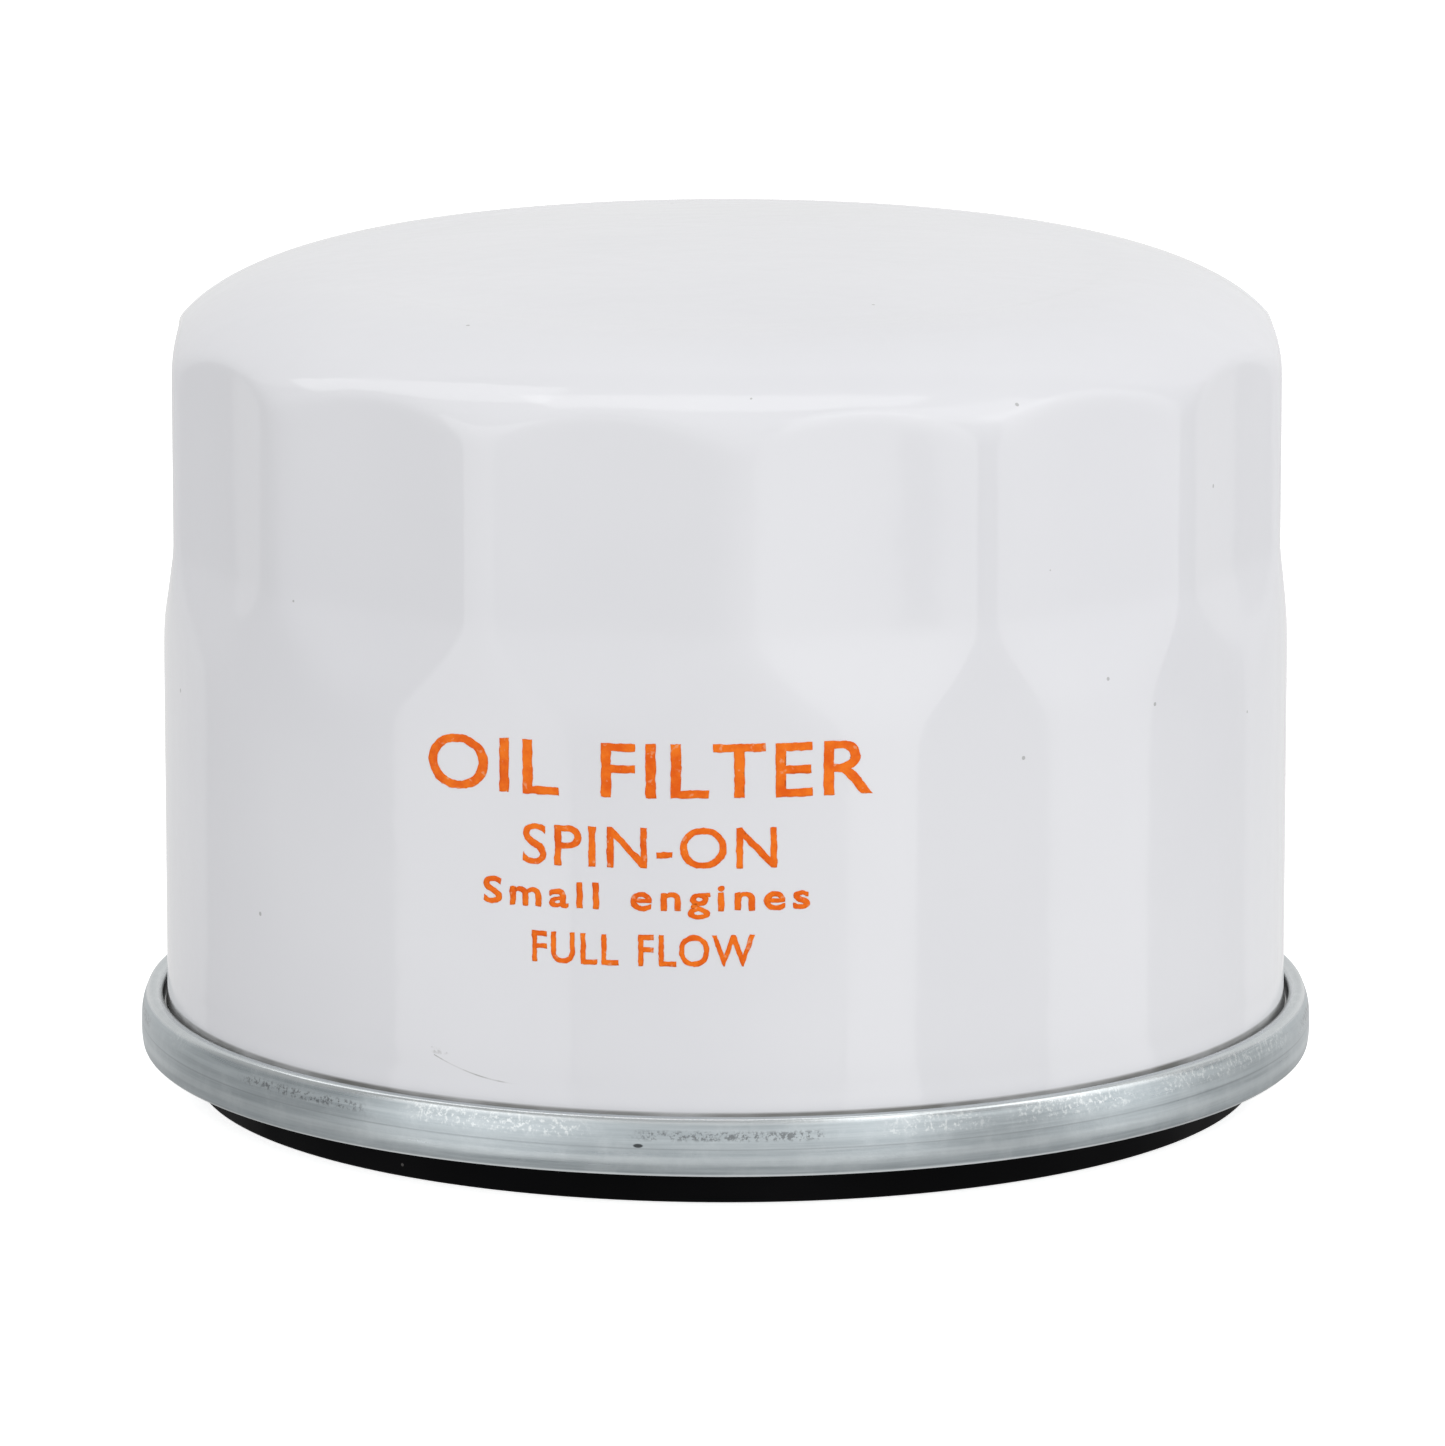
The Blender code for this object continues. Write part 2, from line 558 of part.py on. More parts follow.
def make_pleated_paper(material, parent):
    line = pleat_line()
    sides = offset_line(line, PAPER_SHEET / 2) + offset_line(line, -PAPER_SHEET / 2)[::-1]
    made = bmesh.new()
    low = [made.verts.new((point.x, point.y, PAPER_BOTTOM_Z)) for point in sides]
    high = [made.verts.new((point.x, point.y, PAPER_TOP_Z)) for point in sides]
    count = len(sides)
    for index in range(count):
        after = (index + 1) % count
        made.faces.new((low[index], low[after], high[after], high[index]))
    for index in range(count // 2 - 1):
        across = count - 1 - index
        made.faces.new((low[index], low[across], low[across - 1], low[index + 1]))
        made.faces.new((high[index], high[index + 1], high[across - 1], high[across]))
    return finish("pleated_paper", made, material, parent)


def make_seam_clip(material, parent):
    """The folded strip that holds the paper's two ends together, open towards the axis."""
    half_in = PLEAT_TIP_WIDTH / 2 + PAPER_SHEET / 2 + TOUCH_GAP
    half_out = half_in + CLIP_SHEET
    web_y = PAPER_OUTER_R + TOUCH_GAP
    back_y = web_y + CLIP_SHEET
    mouth_y = back_y - CLIP_DEPTH
    outline = [
        (-half_out, mouth_y), (-half_out, back_y), (half_out, back_y), (half_out, mouth_y),
        (half_in, mouth_y), (half_in, web_y), (-half_in, web_y), (-half_in, mouth_y),
    ]
    made = bmesh.new()
    corners = [made.verts.new((x, y, PAPER_BOTTOM_Z)) for x, y in outline]
    face = made.faces.new(corners)
    pushed = bmesh.ops.extrude_face_region(made, geom=[face])["geom"]
    moved = [item for item in pushed if isinstance(item, bmesh.types.BMVert)]
    bmesh.ops.translate(made, verts=moved, vec=(0.0, 0.0, PAPER_LENGTH))
    return finish("paper_seam_clip", made, material, parent)


def make_bypass_seat(material, parent):
    neck_in_r = SEAT_NECK_OUTER_R - SEAT_SHEET
    profile = [
        (neck_in_r, SEAT_TOP_Z),
        (SEAT_FLANGE_R, SEAT_TOP_Z),
        (SEAT_FLANGE_R, SEAT_FLANGE_Z),
        (SEAT_NECK_OUTER_R, SEAT_FLANGE_Z),
        (SEAT_NECK_OUTER_R, SEAT_BOTTOM_Z),
        (PORT_R, SEAT_BOTTOM_Z),
        (PORT_R, SEAT_BOTTOM_Z + SEAT_SHEET),
        (neck_in_r, SEAT_BOTTOM_Z + SEAT_SHEET),
    ]
    return finish("bypass_seat", turned(profile, SMALL_STEPS), material, parent)


def make_bypass_cage(material, parent):
    guide_r = POPPET_STEM_R + WRAP_GAP
    profile = [
        (CAGE_INNER_R, CAGE_TOP_Z),
        (CAGE_OUTER_R, CAGE_TOP_Z),
        (CAGE_OUTER_R, CAGE_BOTTOM_Z),
        (guide_r, CAGE_BOTTOM_Z),
        (guide_r, CAGE_FLOOR_Z),
        (CAGE_INNER_R, CAGE_FLOOR_Z),
    ]
    cage = finish("bypass_cage", turned(profile, SMALL_STEPS), material, parent)
    windows = bmesh.new()
    middle_r = (CAGE_INNER_R + CAGE_OUTER_R) / 2
    middle_z = CAGE_FLOOR_Z + 0.25 * CAGE_WINDOW_HEIGHT + CAGE_WINDOW_HEIGHT / 2
    size = (CAGE_WINDOW_WIDTH, 0.5 * SEAT_NECK_OUTER_R, CAGE_WINDOW_HEIGHT)
    for index in range(CAGE_WINDOWS):
        turn = Matrix.Rotation(2 * pi * index / CAGE_WINDOWS + pi / CAGE_WINDOWS, 4, "Z")
        add_box(windows, size, turn @ Matrix.Translation((0.0, -middle_r, middle_z)))
    cut(cage, cutter("cage_windows_cutter", windows))
    return cage


def make_bypass_poppet(material, parent):
    plate_r = BYPASS_SEAL_R + POPPET_RIM
    head_z = SEAL_TOP_Z + TOUCH_GAP
    stem_z = CAGE_BOTTOM_Z - STEM_BELOW_CAGE
    profile = [
        (0, head_z + POPPET_HEAD_HEIGHT),
        (POPPET_HEAD_R, head_z + POPPET_HEAD_HEIGHT),
        (POPPET_HEAD_R, head_z),
        (POPPET_NECK_R, head_z),
        (POPPET_NECK_R, POPPET_TOP_Z),
        (plate_r, POPPET_TOP_Z),
        (plate_r, POPPET_BOTTOM_Z),
        (POPPET_STEM_R, POPPET_BOTTOM_Z),
        (POPPET_STEM_R, stem_z),
        (0, stem_z),
    ]
    return finish("bypass_poppet", turned(profile, SMALL_STEPS), material, parent)


def make_bypass_seal(material, parent):
    profile = ring(POPPET_NECK_R + TOUCH_GAP, BYPASS_SEAL_R, SEAL_BOTTOM_Z, SEAL_TOP_Z)
    return finish("bypass_seal", turned(profile, SMALL_STEPS), material, parent)


def make_bypass_spring(material, parent):
    """A coil spring with one closed turn at each end."""
    bottom_z = CAGE_FLOOR_Z + TOUCH_GAP + COIL_WIRE_R
    top_z = POPPET_BOTTOM_Z - TOUCH_GAP - COIL_WIRE_R
    closed_rise = 2 * COIL_WIRE_R + TOUCH_GAP
    open_turns = COIL_TURNS - 2
    points_per_turn = 14
    count = COIL_TURNS * points_per_turn + 1
    curve = bpy.data.curves.new("bypass_spring", "CURVE")
    curve.dimensions = "3D"
    curve.bevel_depth = COIL_WIRE_R
    curve.bevel_resolution = 1
    curve.use_fill_caps = True
    line = curve.splines.new("POLY")
    line.points.add(count - 1)
    for index, point in enumerate(line.points):
        turn = index / points_per_turn
        low = min(turn, 1.0) * closed_rise
        high = max(turn - COIL_TURNS + 1, 0.0) * closed_rise
        middle = min(max(turn - 1.0, 0.0), open_turns) / open_turns
        height = bottom_z + low + high + middle * (top_z - bottom_z - 2 * closed_rise)
        angle = 2 * pi * turn
        point.co = (COIL_MEAN_R * cos(angle), COIL_MEAN_R * sin(angle), height, 1.0)
    curve.materials.append(material)
    made = bpy.data.objects.new("bypass_spring", curve)
    bpy.context.scene.collection.objects.link(made)
    made.parent = parent
    made.matrix_parent_inverse = parent.matrix_world.inverted()
    return made


def make_element_spring(material):
    """The leaf spring under the dome: a ring on the element and leaves that reach up to the dome."""
    ring_z = UPPER_CAP_TOP_Z + TOUCH_GAP
    tip_z = dome_underside(LEAF_TIP_R) - TOUCH_GAP - LEAF_SHEET
    profile = [
        (LEAF_RING_INNER_R, ring_z),
        (LEAF_RING_OUTER_R, ring_z),
        (LEAF_TIP_R, tip_z),
        (LEAF_TIP_R, tip_z + LEAF_SHEET),
        (LEAF_RING_OUTER_R, ring_z + LEAF_SHEET),
        (LEAF_RING_INNER_R, ring_z + LEAF_SHEET),
    ]
    spring = finish("element_spring", turned(profile, LARGE_STEPS), material)
    slots = bmesh.new()
    length = 2 * LEAF_REACH
    start_r = LEAF_RING_OUTER_R + 0.2 * LEAF_REACH
    height = 4 * (tip_z - ring_z)
    size = (LEAF_SLOT_WIDTH, length, height)
    for index in range(LEAF_COUNT):
        turn = Matrix.Rotation(2 * pi * index / LEAF_COUNT, 4, "Z")
        add_box(slots, size, turn @ Matrix.Translation((0.0, -start_r - length / 2, ring_z)))
    cut(spring, cutter("leaf_slots_cutter", slots))
    return spring


def main():
    clear_scene()
    bare_steel = principled("bare_steel", (0.42, 0.42, 0.43), 0.35, 1.0)
    white_paint = principled("white_paint", (0.86, 0.87, 0.88), 0.3, 0.0)
    zinc_plate = principled("zinc_plate", (0.58, 0.6, 0.61), 0.32, 1.0)
    tinplate = principled("tinplate", (0.66, 0.66, 0.65), 0.28, 1.0)
    spring_steel = principled("spring_steel", (0.3, 0.31, 0.33), 0.3, 1.0)
    black_rubber = principled("black_rubber", (0.015, 0.015, 0.017), 0.45, 0.0)
    valve_rubber = principled("valve_rubber", (0.03, 0.03, 0.032), 0.6, 0.0)
    paper = principled("filter_paper", (0.72, 0.5, 0.22), 0.85, 0.0)
    adhesive = principled("adhesive", (0.1, 0.11, 0.12), 0.5, 0.0)
    compound = principled("seam_rubber", (0.25, 0.26, 0.24), 0.7, 0.0)

    make_can(white_paint)
    make_lid(zinc_plate)
    make_seam_compound(compound)
    make_gasket(black_rubber)
    make_base_plate(bare_steel)
    make_anti_drainback_valve(valve_rubber)
    make_element_spring(spring_steel)

    element = empty_at("element_slide", LOWER_CAP_Z)
    make_lower_cap(tinplate, element)
    make_upper_cap(tinplate, element)
    make_potting("lower_potting", LOWER_POTTING_Z, adhesive, element)
    make_potting("upper_potting", UPPER_POTTING_Z, adhesive, element)
    make_centre_tube(tinplate, element)
    make_pleated_paper(paper, element)
    make_seam_clip(tinplate, element)
    make_bypass_seat(tinplate, element)
    make_bypass_cage(tinplate, element)
    make_bypass_spring(spring_steel, element)

    poppet = empty_at("poppet_slide", SEAT_BOTTOM_Z, element)
    make_bypass_poppet(tinplate, poppet)
    make_bypass_seal(black_rubber, poppet)


main()
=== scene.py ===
"""Looks of the spin-on oil filter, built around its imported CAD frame.

The row frame is the CAD's: metres, +Z along the filter's axis towards the dome, and z 0 in the
gasket's sealing face. Angles run round the axis from the front, -Y, towards +X.
"""

from math import cos, pi, radians, sin

import bmesh
import bpy
from mathutils import Matrix, Vector, noise


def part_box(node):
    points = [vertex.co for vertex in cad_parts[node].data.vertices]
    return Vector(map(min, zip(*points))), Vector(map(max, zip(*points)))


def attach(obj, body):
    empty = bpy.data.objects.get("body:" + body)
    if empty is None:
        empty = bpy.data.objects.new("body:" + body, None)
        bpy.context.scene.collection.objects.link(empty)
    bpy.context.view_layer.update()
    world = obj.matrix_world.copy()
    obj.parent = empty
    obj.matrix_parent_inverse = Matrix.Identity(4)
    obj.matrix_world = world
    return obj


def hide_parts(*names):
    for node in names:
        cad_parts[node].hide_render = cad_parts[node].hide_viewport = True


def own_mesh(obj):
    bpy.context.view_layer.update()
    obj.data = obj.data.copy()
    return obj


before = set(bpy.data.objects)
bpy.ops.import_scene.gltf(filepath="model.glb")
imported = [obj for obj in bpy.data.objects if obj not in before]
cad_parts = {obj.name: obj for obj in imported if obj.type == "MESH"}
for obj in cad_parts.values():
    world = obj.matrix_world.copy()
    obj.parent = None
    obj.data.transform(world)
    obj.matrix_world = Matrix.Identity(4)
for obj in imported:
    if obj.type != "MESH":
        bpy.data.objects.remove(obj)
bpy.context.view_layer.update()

MM = 0.001

# Places read from the frame
FILTER_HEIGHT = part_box("can")[1].z
SEAM_OUTER_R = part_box("seaming_lid")[1].x
GASKET_OUTER_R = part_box("sealing_gasket")[1].x
GASKET_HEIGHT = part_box("sealing_gasket")[1].z
COIL_LOW, COIL_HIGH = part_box("bypass_spring")
LEAF_LOW, LEAF_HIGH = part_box("element_spring")

# Can, with its pressed wrench flutes
CAN_R = 36.4 * MM
CAN_SHEET = 0.5 * MM
SHOULDER_HEIGHT = 6.35 * MM
SHOULDER_REACH = 12.3 * MM
SHOULDER_POWER = 1.94          # of the superellipse that the shoulder follows
SHOULDER_STEPS = 30
DOME_CROWN = 1.1 * MM
DOME_RINGS = 14
SHOULDER_START_Z = FILTER_HEIGHT - DOME_CROWN - SHOULDER_HEIGHT
FLAT_COUNT = 14
STEPS_PER_FLAT = 26
FLUTE_EDGE_DROP = 0.86 * MM    # from the wall in to the plane of a flute's edges
FLUTE_HOLLOW = 0.24 * MM       # from that plane in to a flute's middle
FIRST_FLAT = radians(-12.0)
FLAT_RUN_OUT_Z = 30.8 * MM     # where a flat's plane meets the wall again
FLAT_RUN_OUT_LENGTH = 5.3 * MM
FLAT_RUN_OUT_OVER = 1.3 * MM
RUN_OUT_STRAIGHT = 0.8         # share of the run-out that rises evenly, before it eases to full depth
RUN_OUT_EASE = 0.3
RIDGE_SHARPNESS = 260
CAN_HOOK_R = 37.05 * MM
CAN_FLANGE_Z = 5.3 * MM
CAN_HOOK_LENGTH = 1.6 * MM
CAN_HOOK_CORNER = 0.25 * MM
CAN_HOOK_CORNER_NICK = 0.07 * MM

# Lid and rolled seam
LID_SHEET = 0.5 * MM
LID_RECESS_Z = 2.6 * MM
SEAM_BOTTOM_Z = 2.5 * MM
SEAM_TOP_Z = 6.2 * MM
LID_WALL_INNER_R = 35.0 * MM
LID_LAND_OUTER_R = 30.6 * MM
LID_OPENING_R = 25.5 * MM
LID_FLOOR_Z = GASKET_HEIGHT + 0.3 * MM
SEAM_MOUTH_GAP = 0.3 * MM
SEAM_RIM_WIDTH = 0.35 * MM
SEAM_RIM_DROP = 0.28 * MM      # from the rim down to its inner edge
SEAM_FOOT_IN = 0.12 * MM
SEAM_FOOT_HEIGHT = 0.8 * MM
SEAM_WALL_BATTER = 0.03 * MM
SEAM_BROW_HEIGHT = 1.1 * MM
SEAM_BROW_IN = 0.45 * MM
SEAM_FOLD_GAP = 0.05 * MM

# Gasket
GASKET_INNER_R = GASKET_OUTER_R - 3.6 * MM
GASKET_BULGE = 0.08 * MM
GASKET_FOOT_OUT = 0.06 * MM
GASKET_FOOT_IN = 0.2 * MM

# Base plate
BASE_BOTTOM_Z = 3.4 * MM
BASE_TOP_Z = 6.1 * MM
BASE_STEP_OUTER_R = 29.8 * MM
BASE_STEP_INNER_R = 27.3 * MM
BASE_RIM_BOTTOM_Z = 6.7 * MM
BASE_RIM_TOP_Z = 9.2 * MM
BASE_RIM_R = 35.5 * MM
THREAD_MINOR_R = 9.19 * MM
THREAD_MAJOR_R = 10.02 * MM
THREAD_PITCH = 1.5 * MM
THREAD_CREST = 0.25            # share of the pitch that is flat crest
THREAD_FLANK = 0.625           # share of the pitch in its two flanks
HUB_OUTER_R = 12.19 * MM
HUB_TOP_Z = 12.5 * MM
HUB_LEAD_IN = 0.8 * MM
INLET_COUNT = 8
INLET_R = 2.75 * MM
INLET_CIRCLE_R = 19.695 * MM
INLET_CHAMFER = 0.3 * MM

# Anti-drainback valve
VALVE_INNER_R = 12.49 * MM
VALVE_COLLAR_R = 14.39 * MM
VALVE_TOP_Z = 13.2 * MM
VALVE_COLLAR_BOTTOM_Z = 9.6 * MM
VALVE_LIP_R = 26.0 * MM
VALVE_SEAT_Z = 6.4 * MM
VALVE_THICKNESS = 1.1 * MM
VALVE_RIB_HALF = 0.9 * MM
VALVE_RIB_RISE = 0.4 * MM

# Springs
COIL_MEAN_R = 4.4 * MM
COIL_WIRE_R = 0.45 * MM
COIL_TURNS = 5
LEAF_SHEET = 0.6 * MM
LEAF_RING_INNER_R = 12.4 * MM
LEAF_RING_OUTER_R = 17.0 * MM
LEAF_TIP_R = 25.5 * MM
LEAF_COUNT = 6
LEAF_SLOT_WIDTH = 7.0 * MM
LEAF_SLOT_CORNER = 1.5 * MM
LEAF_SLOT_START = 0.2          # share of a leaf's reach that stays joined to its neighbours

# Print: name, words, width, height, middle's angle, base height, letter spacing, weight, spread.
# Sizes are in mm and the angle in degrees. Weight fattens the font, and spread the finished outline.
PRINT_LINES = (
    ("print_title", "OIL FILTER", 28.5, 3.5, -8.0, 26.1, 1.06, 0.008, 0.0),
    ("print_type", "SPIN-ON", 16.0, 2.6, -7.6, 21.7, 1.1, 0.008, 0.0),
    ("print_use", "Small engines", 20.6, 2.15, -8.1, 18.55, 1.26, 0.004, 0.055),
    ("print_flow", "FULL FLOW", 14.0, 2.0, -8.2, 15.5, 1.1, 0.01, 0.015),
)
PRINT_TILT = 0.012             # rise for each unit along the line
PRINT_GRAIN = 0.16 * MM
INK_OUTSIDE = 0.022 * MM
INK_INSIDE = 0.004 * MM
RAGGED_WAVES = ((2.3, 0.055), (6.1, 0.035))     # waves per mm, and how far each moves the outline
PRINT_SEED = 5                 # the noise's offsets come from the clock without one

# Camera
CAMERA_RISE = radians(11.87)
CAMERA_DISTANCE = 0.700
CAMERA_LENS = 268.2
CAMERA_TARGET = Vector((-0.0002, 0.0, 0.0233))

# Studio, as radiance
WORLD_BELOW = 0.53
WORLD_ABOVE = 0.63
WORLD_LEAN = 0.12              # how much brighter the +X side is, as a share
WORLD_RAMP = (-0.75, 0.25)     # between these heights of the view direction it turns to the upper value

# Soft boxes: name, azimuth and rise in degrees, then distance, width, height in metres, and radiance
SOFTBOXES = (
    ("strip_right", 31.0, 16.0, 0.75, 0.21, 0.95, 1.05),
    ("box_right", 81.0, 16.0, 0.8, 0.42, 1.0, 0.8),
    ("front_fill", -3.3, 4.0, 1.0, 1.02, 0.9, 0.42),
    ("panel_left", -50.0, 8.0, 0.9, 0.66, 0.9, 0.92),
    ("key_top_right", 60.0, 50.0, 1.0, 0.8, 0.5, 0.75),
    ("strip_top_left", -112.0, 54.0, 1.0, 0.32, 0.65, 1.0),
    ("overhead", 0.0, 88.0, 0.8, 0.62, 0.26, 1.1),
    ("back_wall", 180.0, 22.0, 0.9, 2.5, 1.6, 0.22),
    ("from_below", 0.0, -90.0, 0.6, 0.9, 0.9, 0.3),
)


# ---------------------------------------------------------------- meshes


def mesh_object(name, points, faces, sharp_angle=32.0):
    """A smooth-shaded mesh object with outward normals, placed in the row frame."""
    mesh = bpy.data.meshes.new(name)
    mesh.from_pydata(points, [], faces)
    made = bmesh.new()
    made.from_mesh(mesh)
    bmesh.ops.remove_doubles(made, verts=made.verts, dist=1e-7)
    bmesh.ops.recalc_face_normals(made, faces=made.faces)
    made.to_mesh(mesh)
    made.free()
    mesh.shade_smooth()
    mesh.set_sharp_from_angle(angle=radians(sharp_angle))
    thing = bpy.data.objects.new(name, mesh)
    bpy.context.scene.collection.objects.link(thing)
    return thing


def turned_points(profile, steps, radius_at=None, first_angle=0.0):
    """Points and faces of a closed (radius, height) profile turned about Z. Radius 0 is a pole."""
    points, rings, faces = [], [], []
    for index, (radius, height) in enumerate(profile):
        if radius == 0:
            rings.append([len(points)])
            points.append((0.0, 0.0, height))
            continue
        ring = []
        for step in range(steps):
            angle = first_angle + 2 * pi * step / steps
            there = radius_at(index, radius, height, angle) if radius_at else radius
            ring.append(len(points))
            points.append((there * sin(angle), -there * cos(angle), height))
        rings.append(ring)
    for low, high in zip(rings, rings[1:] + rings[:1]):
        if len(low) == len(high) == 1:
            continue
        for step in range(steps):
            after = (step + 1) % steps
            corners = [low[step % len(low)], low[after % len(low)]]
            corners += [high[after % len(high)], high[step % len(high)]]
            faces.append(list(dict.fromkeys(corners)))
    return points, faces


def turned(name, profile, steps=192, radius_at=None, first_angle=0.0, sharp_angle=32.0):
    points, faces = turned_points(profile, steps, radius_at, first_angle)
    return mesh_object(name, points, faces, sharp_angle)


def rounded(profile, radius, steps):
    """The closed profile with each corner replaced by a small curve.

    Radius is one length for all corners, or a list with one for each.
    """
    made = []
    count = len(profile)
    for index, (r, z) in enumerate(profile):
        corner = Vector((r, z))
        before = Vector(profile[index - 1])
        after = Vector(profile[(index + 1) % count])
        wanted = radius[index] if isinstance(radius, (list, tuple)) else radius
        reach = min(wanted, 0.48 * (before - corner).length, 0.48 * (after - corner).length)
        start = corner + (before - corner).normalized() * reach
        end = corner + (after - corner).normalized() * reach
        for step in range(steps + 1):
            t = step / steps
            point = (1 - t) ** 2 * start + 2 * t * (1 - t) * corner + t * t * end
            made.append((point.x, point.y))
    return made


def cut_with(target, points, faces, name):
    """Subtracts a closed mesh from target, and leaves plain mesh data behind."""
    tool = mesh_object(name, points, faces)
    modifier = target.modifiers.new(name, "BOOLEAN")
    modifier.operation = "DIFFERENCE"
    modifier.solver = "EXACT"
    modifier.object = tool
    bpy.context.view_layer.update()
    graph = bpy.context.evaluated_depsgraph_get()
    result = bpy.data.meshes.new_from_object(target.evaluated_get(graph), depsgraph=graph)
    target.modifiers.clear()
    target.data = result
    result.shade_smooth()
    result.set_sharp_from_angle(angle=radians(28.0))
    bpy.data.objects.remove(tool, do_unlink=True)
    return target


# ---------------------------------------------------------------- the can


def pressed_radius(radius, height, angle, inset):
    """A can point's radius with the wrench flutes pressed in, soft at their ridges and lower ends."""
    lean = (height - FLAT_RUN_OUT_Z) / FLAT_RUN_OUT_LENGTH
    if lean > RUN_OUT_STRAIGHT:
        eased = min(1.0, (lean - RUN_OUT_STRAIGHT) / RUN_OUT_EASE)
        lean = RUN_OUT_STRAIGHT + (1 - RUN_OUT_STRAIGHT) * sin(eased * pi / 2)
    pitch = 2 * pi / FLAT_COUNT
    off_flute = (angle - FIRST_FLAT + pitch / 2) % pitch - pitch / 2
    hollow = FLUTE_HOLLOW * (1 + cos(2 * pi * off_flute / pitch)) / 2
    drop = max(lean * (FLUTE_EDGE_DROP + hollow), -FLAT_RUN_OUT_OVER)
    apothem = CAN_R - inset - drop
    crowd = 0.0
    for neighbour in (-pitch, 0.0, pitch):
        crowd += (radius * cos(off_flute + neighbour) / apothem) ** RIDGE_SHARPNESS
    return radius * (1 + crowd) ** (-1 / RIDGE_SHARPNESS)


def shoulder_profile(wall_r, sheet):
    """Points from the wall's top to the pole. Sheet is 0 outside, and the sheet's thickness inside."""
    points = []
    rise = SHOULDER_HEIGHT - sheet
    inner_r = wall_r - SHOULDER_REACH
    for step in range(SHOULDER_STEPS + 1):
        turn = (pi / 2) * step / SHOULDER_STEPS
        across = cos(turn) ** (2 / SHOULDER_POWER) if step < SHOULDER_STEPS else 0.0
        up = sin(turn) ** (2 / SHOULDER_POWER) if step else 0.0
        points.append((inner_r + SHOULDER_REACH * across, SHOULDER_START_Z + rise * up))
    edge_r, edge_z = points[-1]
    for ring in range(DOME_RINGS - 1, 0, -1):
        part = ring / DOME_RINGS
        points.append((edge_r * part, edge_z + DOME_CROWN * (1 - part * part)))
    points.append((0, edge_z + DOME_CROWN))
    return points


def make_can():
    """The deep-drawn can: hooked flange, fluted wall, soft shoulder and crowned dome."""
    hook_in_r = CAN_HOOK_R - CAN_SHEET
    # Ring heights in mm, closest together where the flutes run out and where the shoulder starts
    wall = [8.0, 12.0, 16.0, 19.0, 21.0, 23.0]
    wall += [24.0 + 0.5 * step for step in range(28)]
    wall += [38.0 + 1.0 * step for step in range(7)]
    wall += [44.5 + 0.4 * step for step in range(7)]
    wall = [height * MM for height in wall if height * MM < SHOULDER_START_Z - 0.1 * MM]
    outer = [
        (hook_in_r, CAN_FLANGE_Z - CAN_HOOK_LENGTH),
        (CAN_HOOK_R, CAN_FLANGE_Z - CAN_HOOK_LENGTH),
        (CAN_HOOK_R, CAN_FLANGE_Z - CAN_HOOK_CORNER),
        (CAN_HOOK_R - CAN_HOOK_CORNER_NICK, CAN_FLANGE_Z - CAN_HOOK_CORNER_NICK),
        (CAN_HOOK_R - CAN_HOOK_CORNER, CAN_FLANGE_Z),
        (CAN_R + 0.1 * MM, CAN_FLANGE_Z),
        (CAN_R, CAN_FLANGE_Z + 0.15 * MM),
    ]
    outer += [(CAN_R, height) for height in wall]
    outer += shoulder_profile(CAN_R, 0.0)
    inner_r = CAN_R - CAN_SHEET
    inner = shoulder_profile(inner_r, CAN_SHEET)[::-1]
    inner += [(inner_r, height) for height in reversed(wall)]
    inner += [(inner_r, CAN_FLANGE_Z - CAN_SHEET), (hook_in_r, CAN_FLANGE_Z - CAN_SHEET)]
    outer_points = len(outer)

    def pressed(index, radius, height, angle):
        return pressed_radius(radius, height, angle, 0.0 if index < outer_points else CAN_SHEET)

    return turned("can_shell", outer + inner, FLAT_COUNT * STEPS_PER_FLAT, pressed, FIRST_FLAT, 40.0)


# ---------------------------------------------------------------- lid, gasket, base


def make_lid():
    """The zinc-plated lid, its gasket channel and the seam rolled over the can's flange."""
    top, bottom = SEAM_TOP_Z, SEAM_BOTTOM_Z
    mouth_r = CAN_R + SEAM_MOUTH_GAP
    outer = SEAM_OUTER_R
    fold_top = top - LID_SHEET - SEAM_FOLD_GAP
    profile = rounded(
        [
            (LID_OPENING_R, LID_RECESS_Z + LID_SHEET),
            (LID_OPENING_R, LID_RECESS_Z),
            (LID_LAND_OUTER_R, LID_RECESS_Z),
            (LID_LAND_OUTER_R, LID_FLOOR_Z),
            (LID_WALL_INNER_R, LID_FLOOR_Z),
            (LID_WALL_INNER_R, bottom),
            (outer - SEAM_FOOT_IN, bottom),
            (outer, bottom + SEAM_FOOT_HEIGHT),
            (outer - SEAM_WALL_BATTER, top - SEAM_BROW_HEIGHT),
            (outer - SEAM_BROW_IN, top),
            (mouth_r + SEAM_RIM_WIDTH, top - SEAM_WALL_BATTER),
            (mouth_r, top - SEAM_RIM_DROP),
            (mouth_r, fold_top),
            (outer - LID_SHEET - SEAM_MOUTH_GAP, fold_top),
            (outer - LID_SHEET, (top + bottom) / 2),
            (outer - LID_SHEET, bottom + LID_SHEET),
            (LID_WALL_INNER_R + LID_SHEET, bottom + LID_SHEET),
            (LID_WALL_INNER_R + LID_SHEET, LID_FLOOR_Z + LID_SHEET),
            (LID_LAND_OUTER_R - LID_SHEET, LID_FLOOR_Z + LID_SHEET),
            (LID_LAND_OUTER_R - LID_SHEET, LID_RECESS_Z + LID_SHEET),
        ],
        [
            0.1 * MM, 0.15 * MM, 0.4 * MM, 0.35 * MM, 0.35 * MM, 0.5 * MM, 0.3 * MM, 0.7 * MM,
            0.6 * MM, 0.4 * MM, 0.3 * MM, 0.12 * MM, 0.1 * MM, 0.1 * MM, 0.2 * MM, 0.1 * MM,
            0.1 * MM, 0.15 * MM, 0.15 * MM, 0.15 * MM,
        ],
        5,
    )
    return turned("seaming_lid_rolled", profile, 256, sharp_angle=50.0)


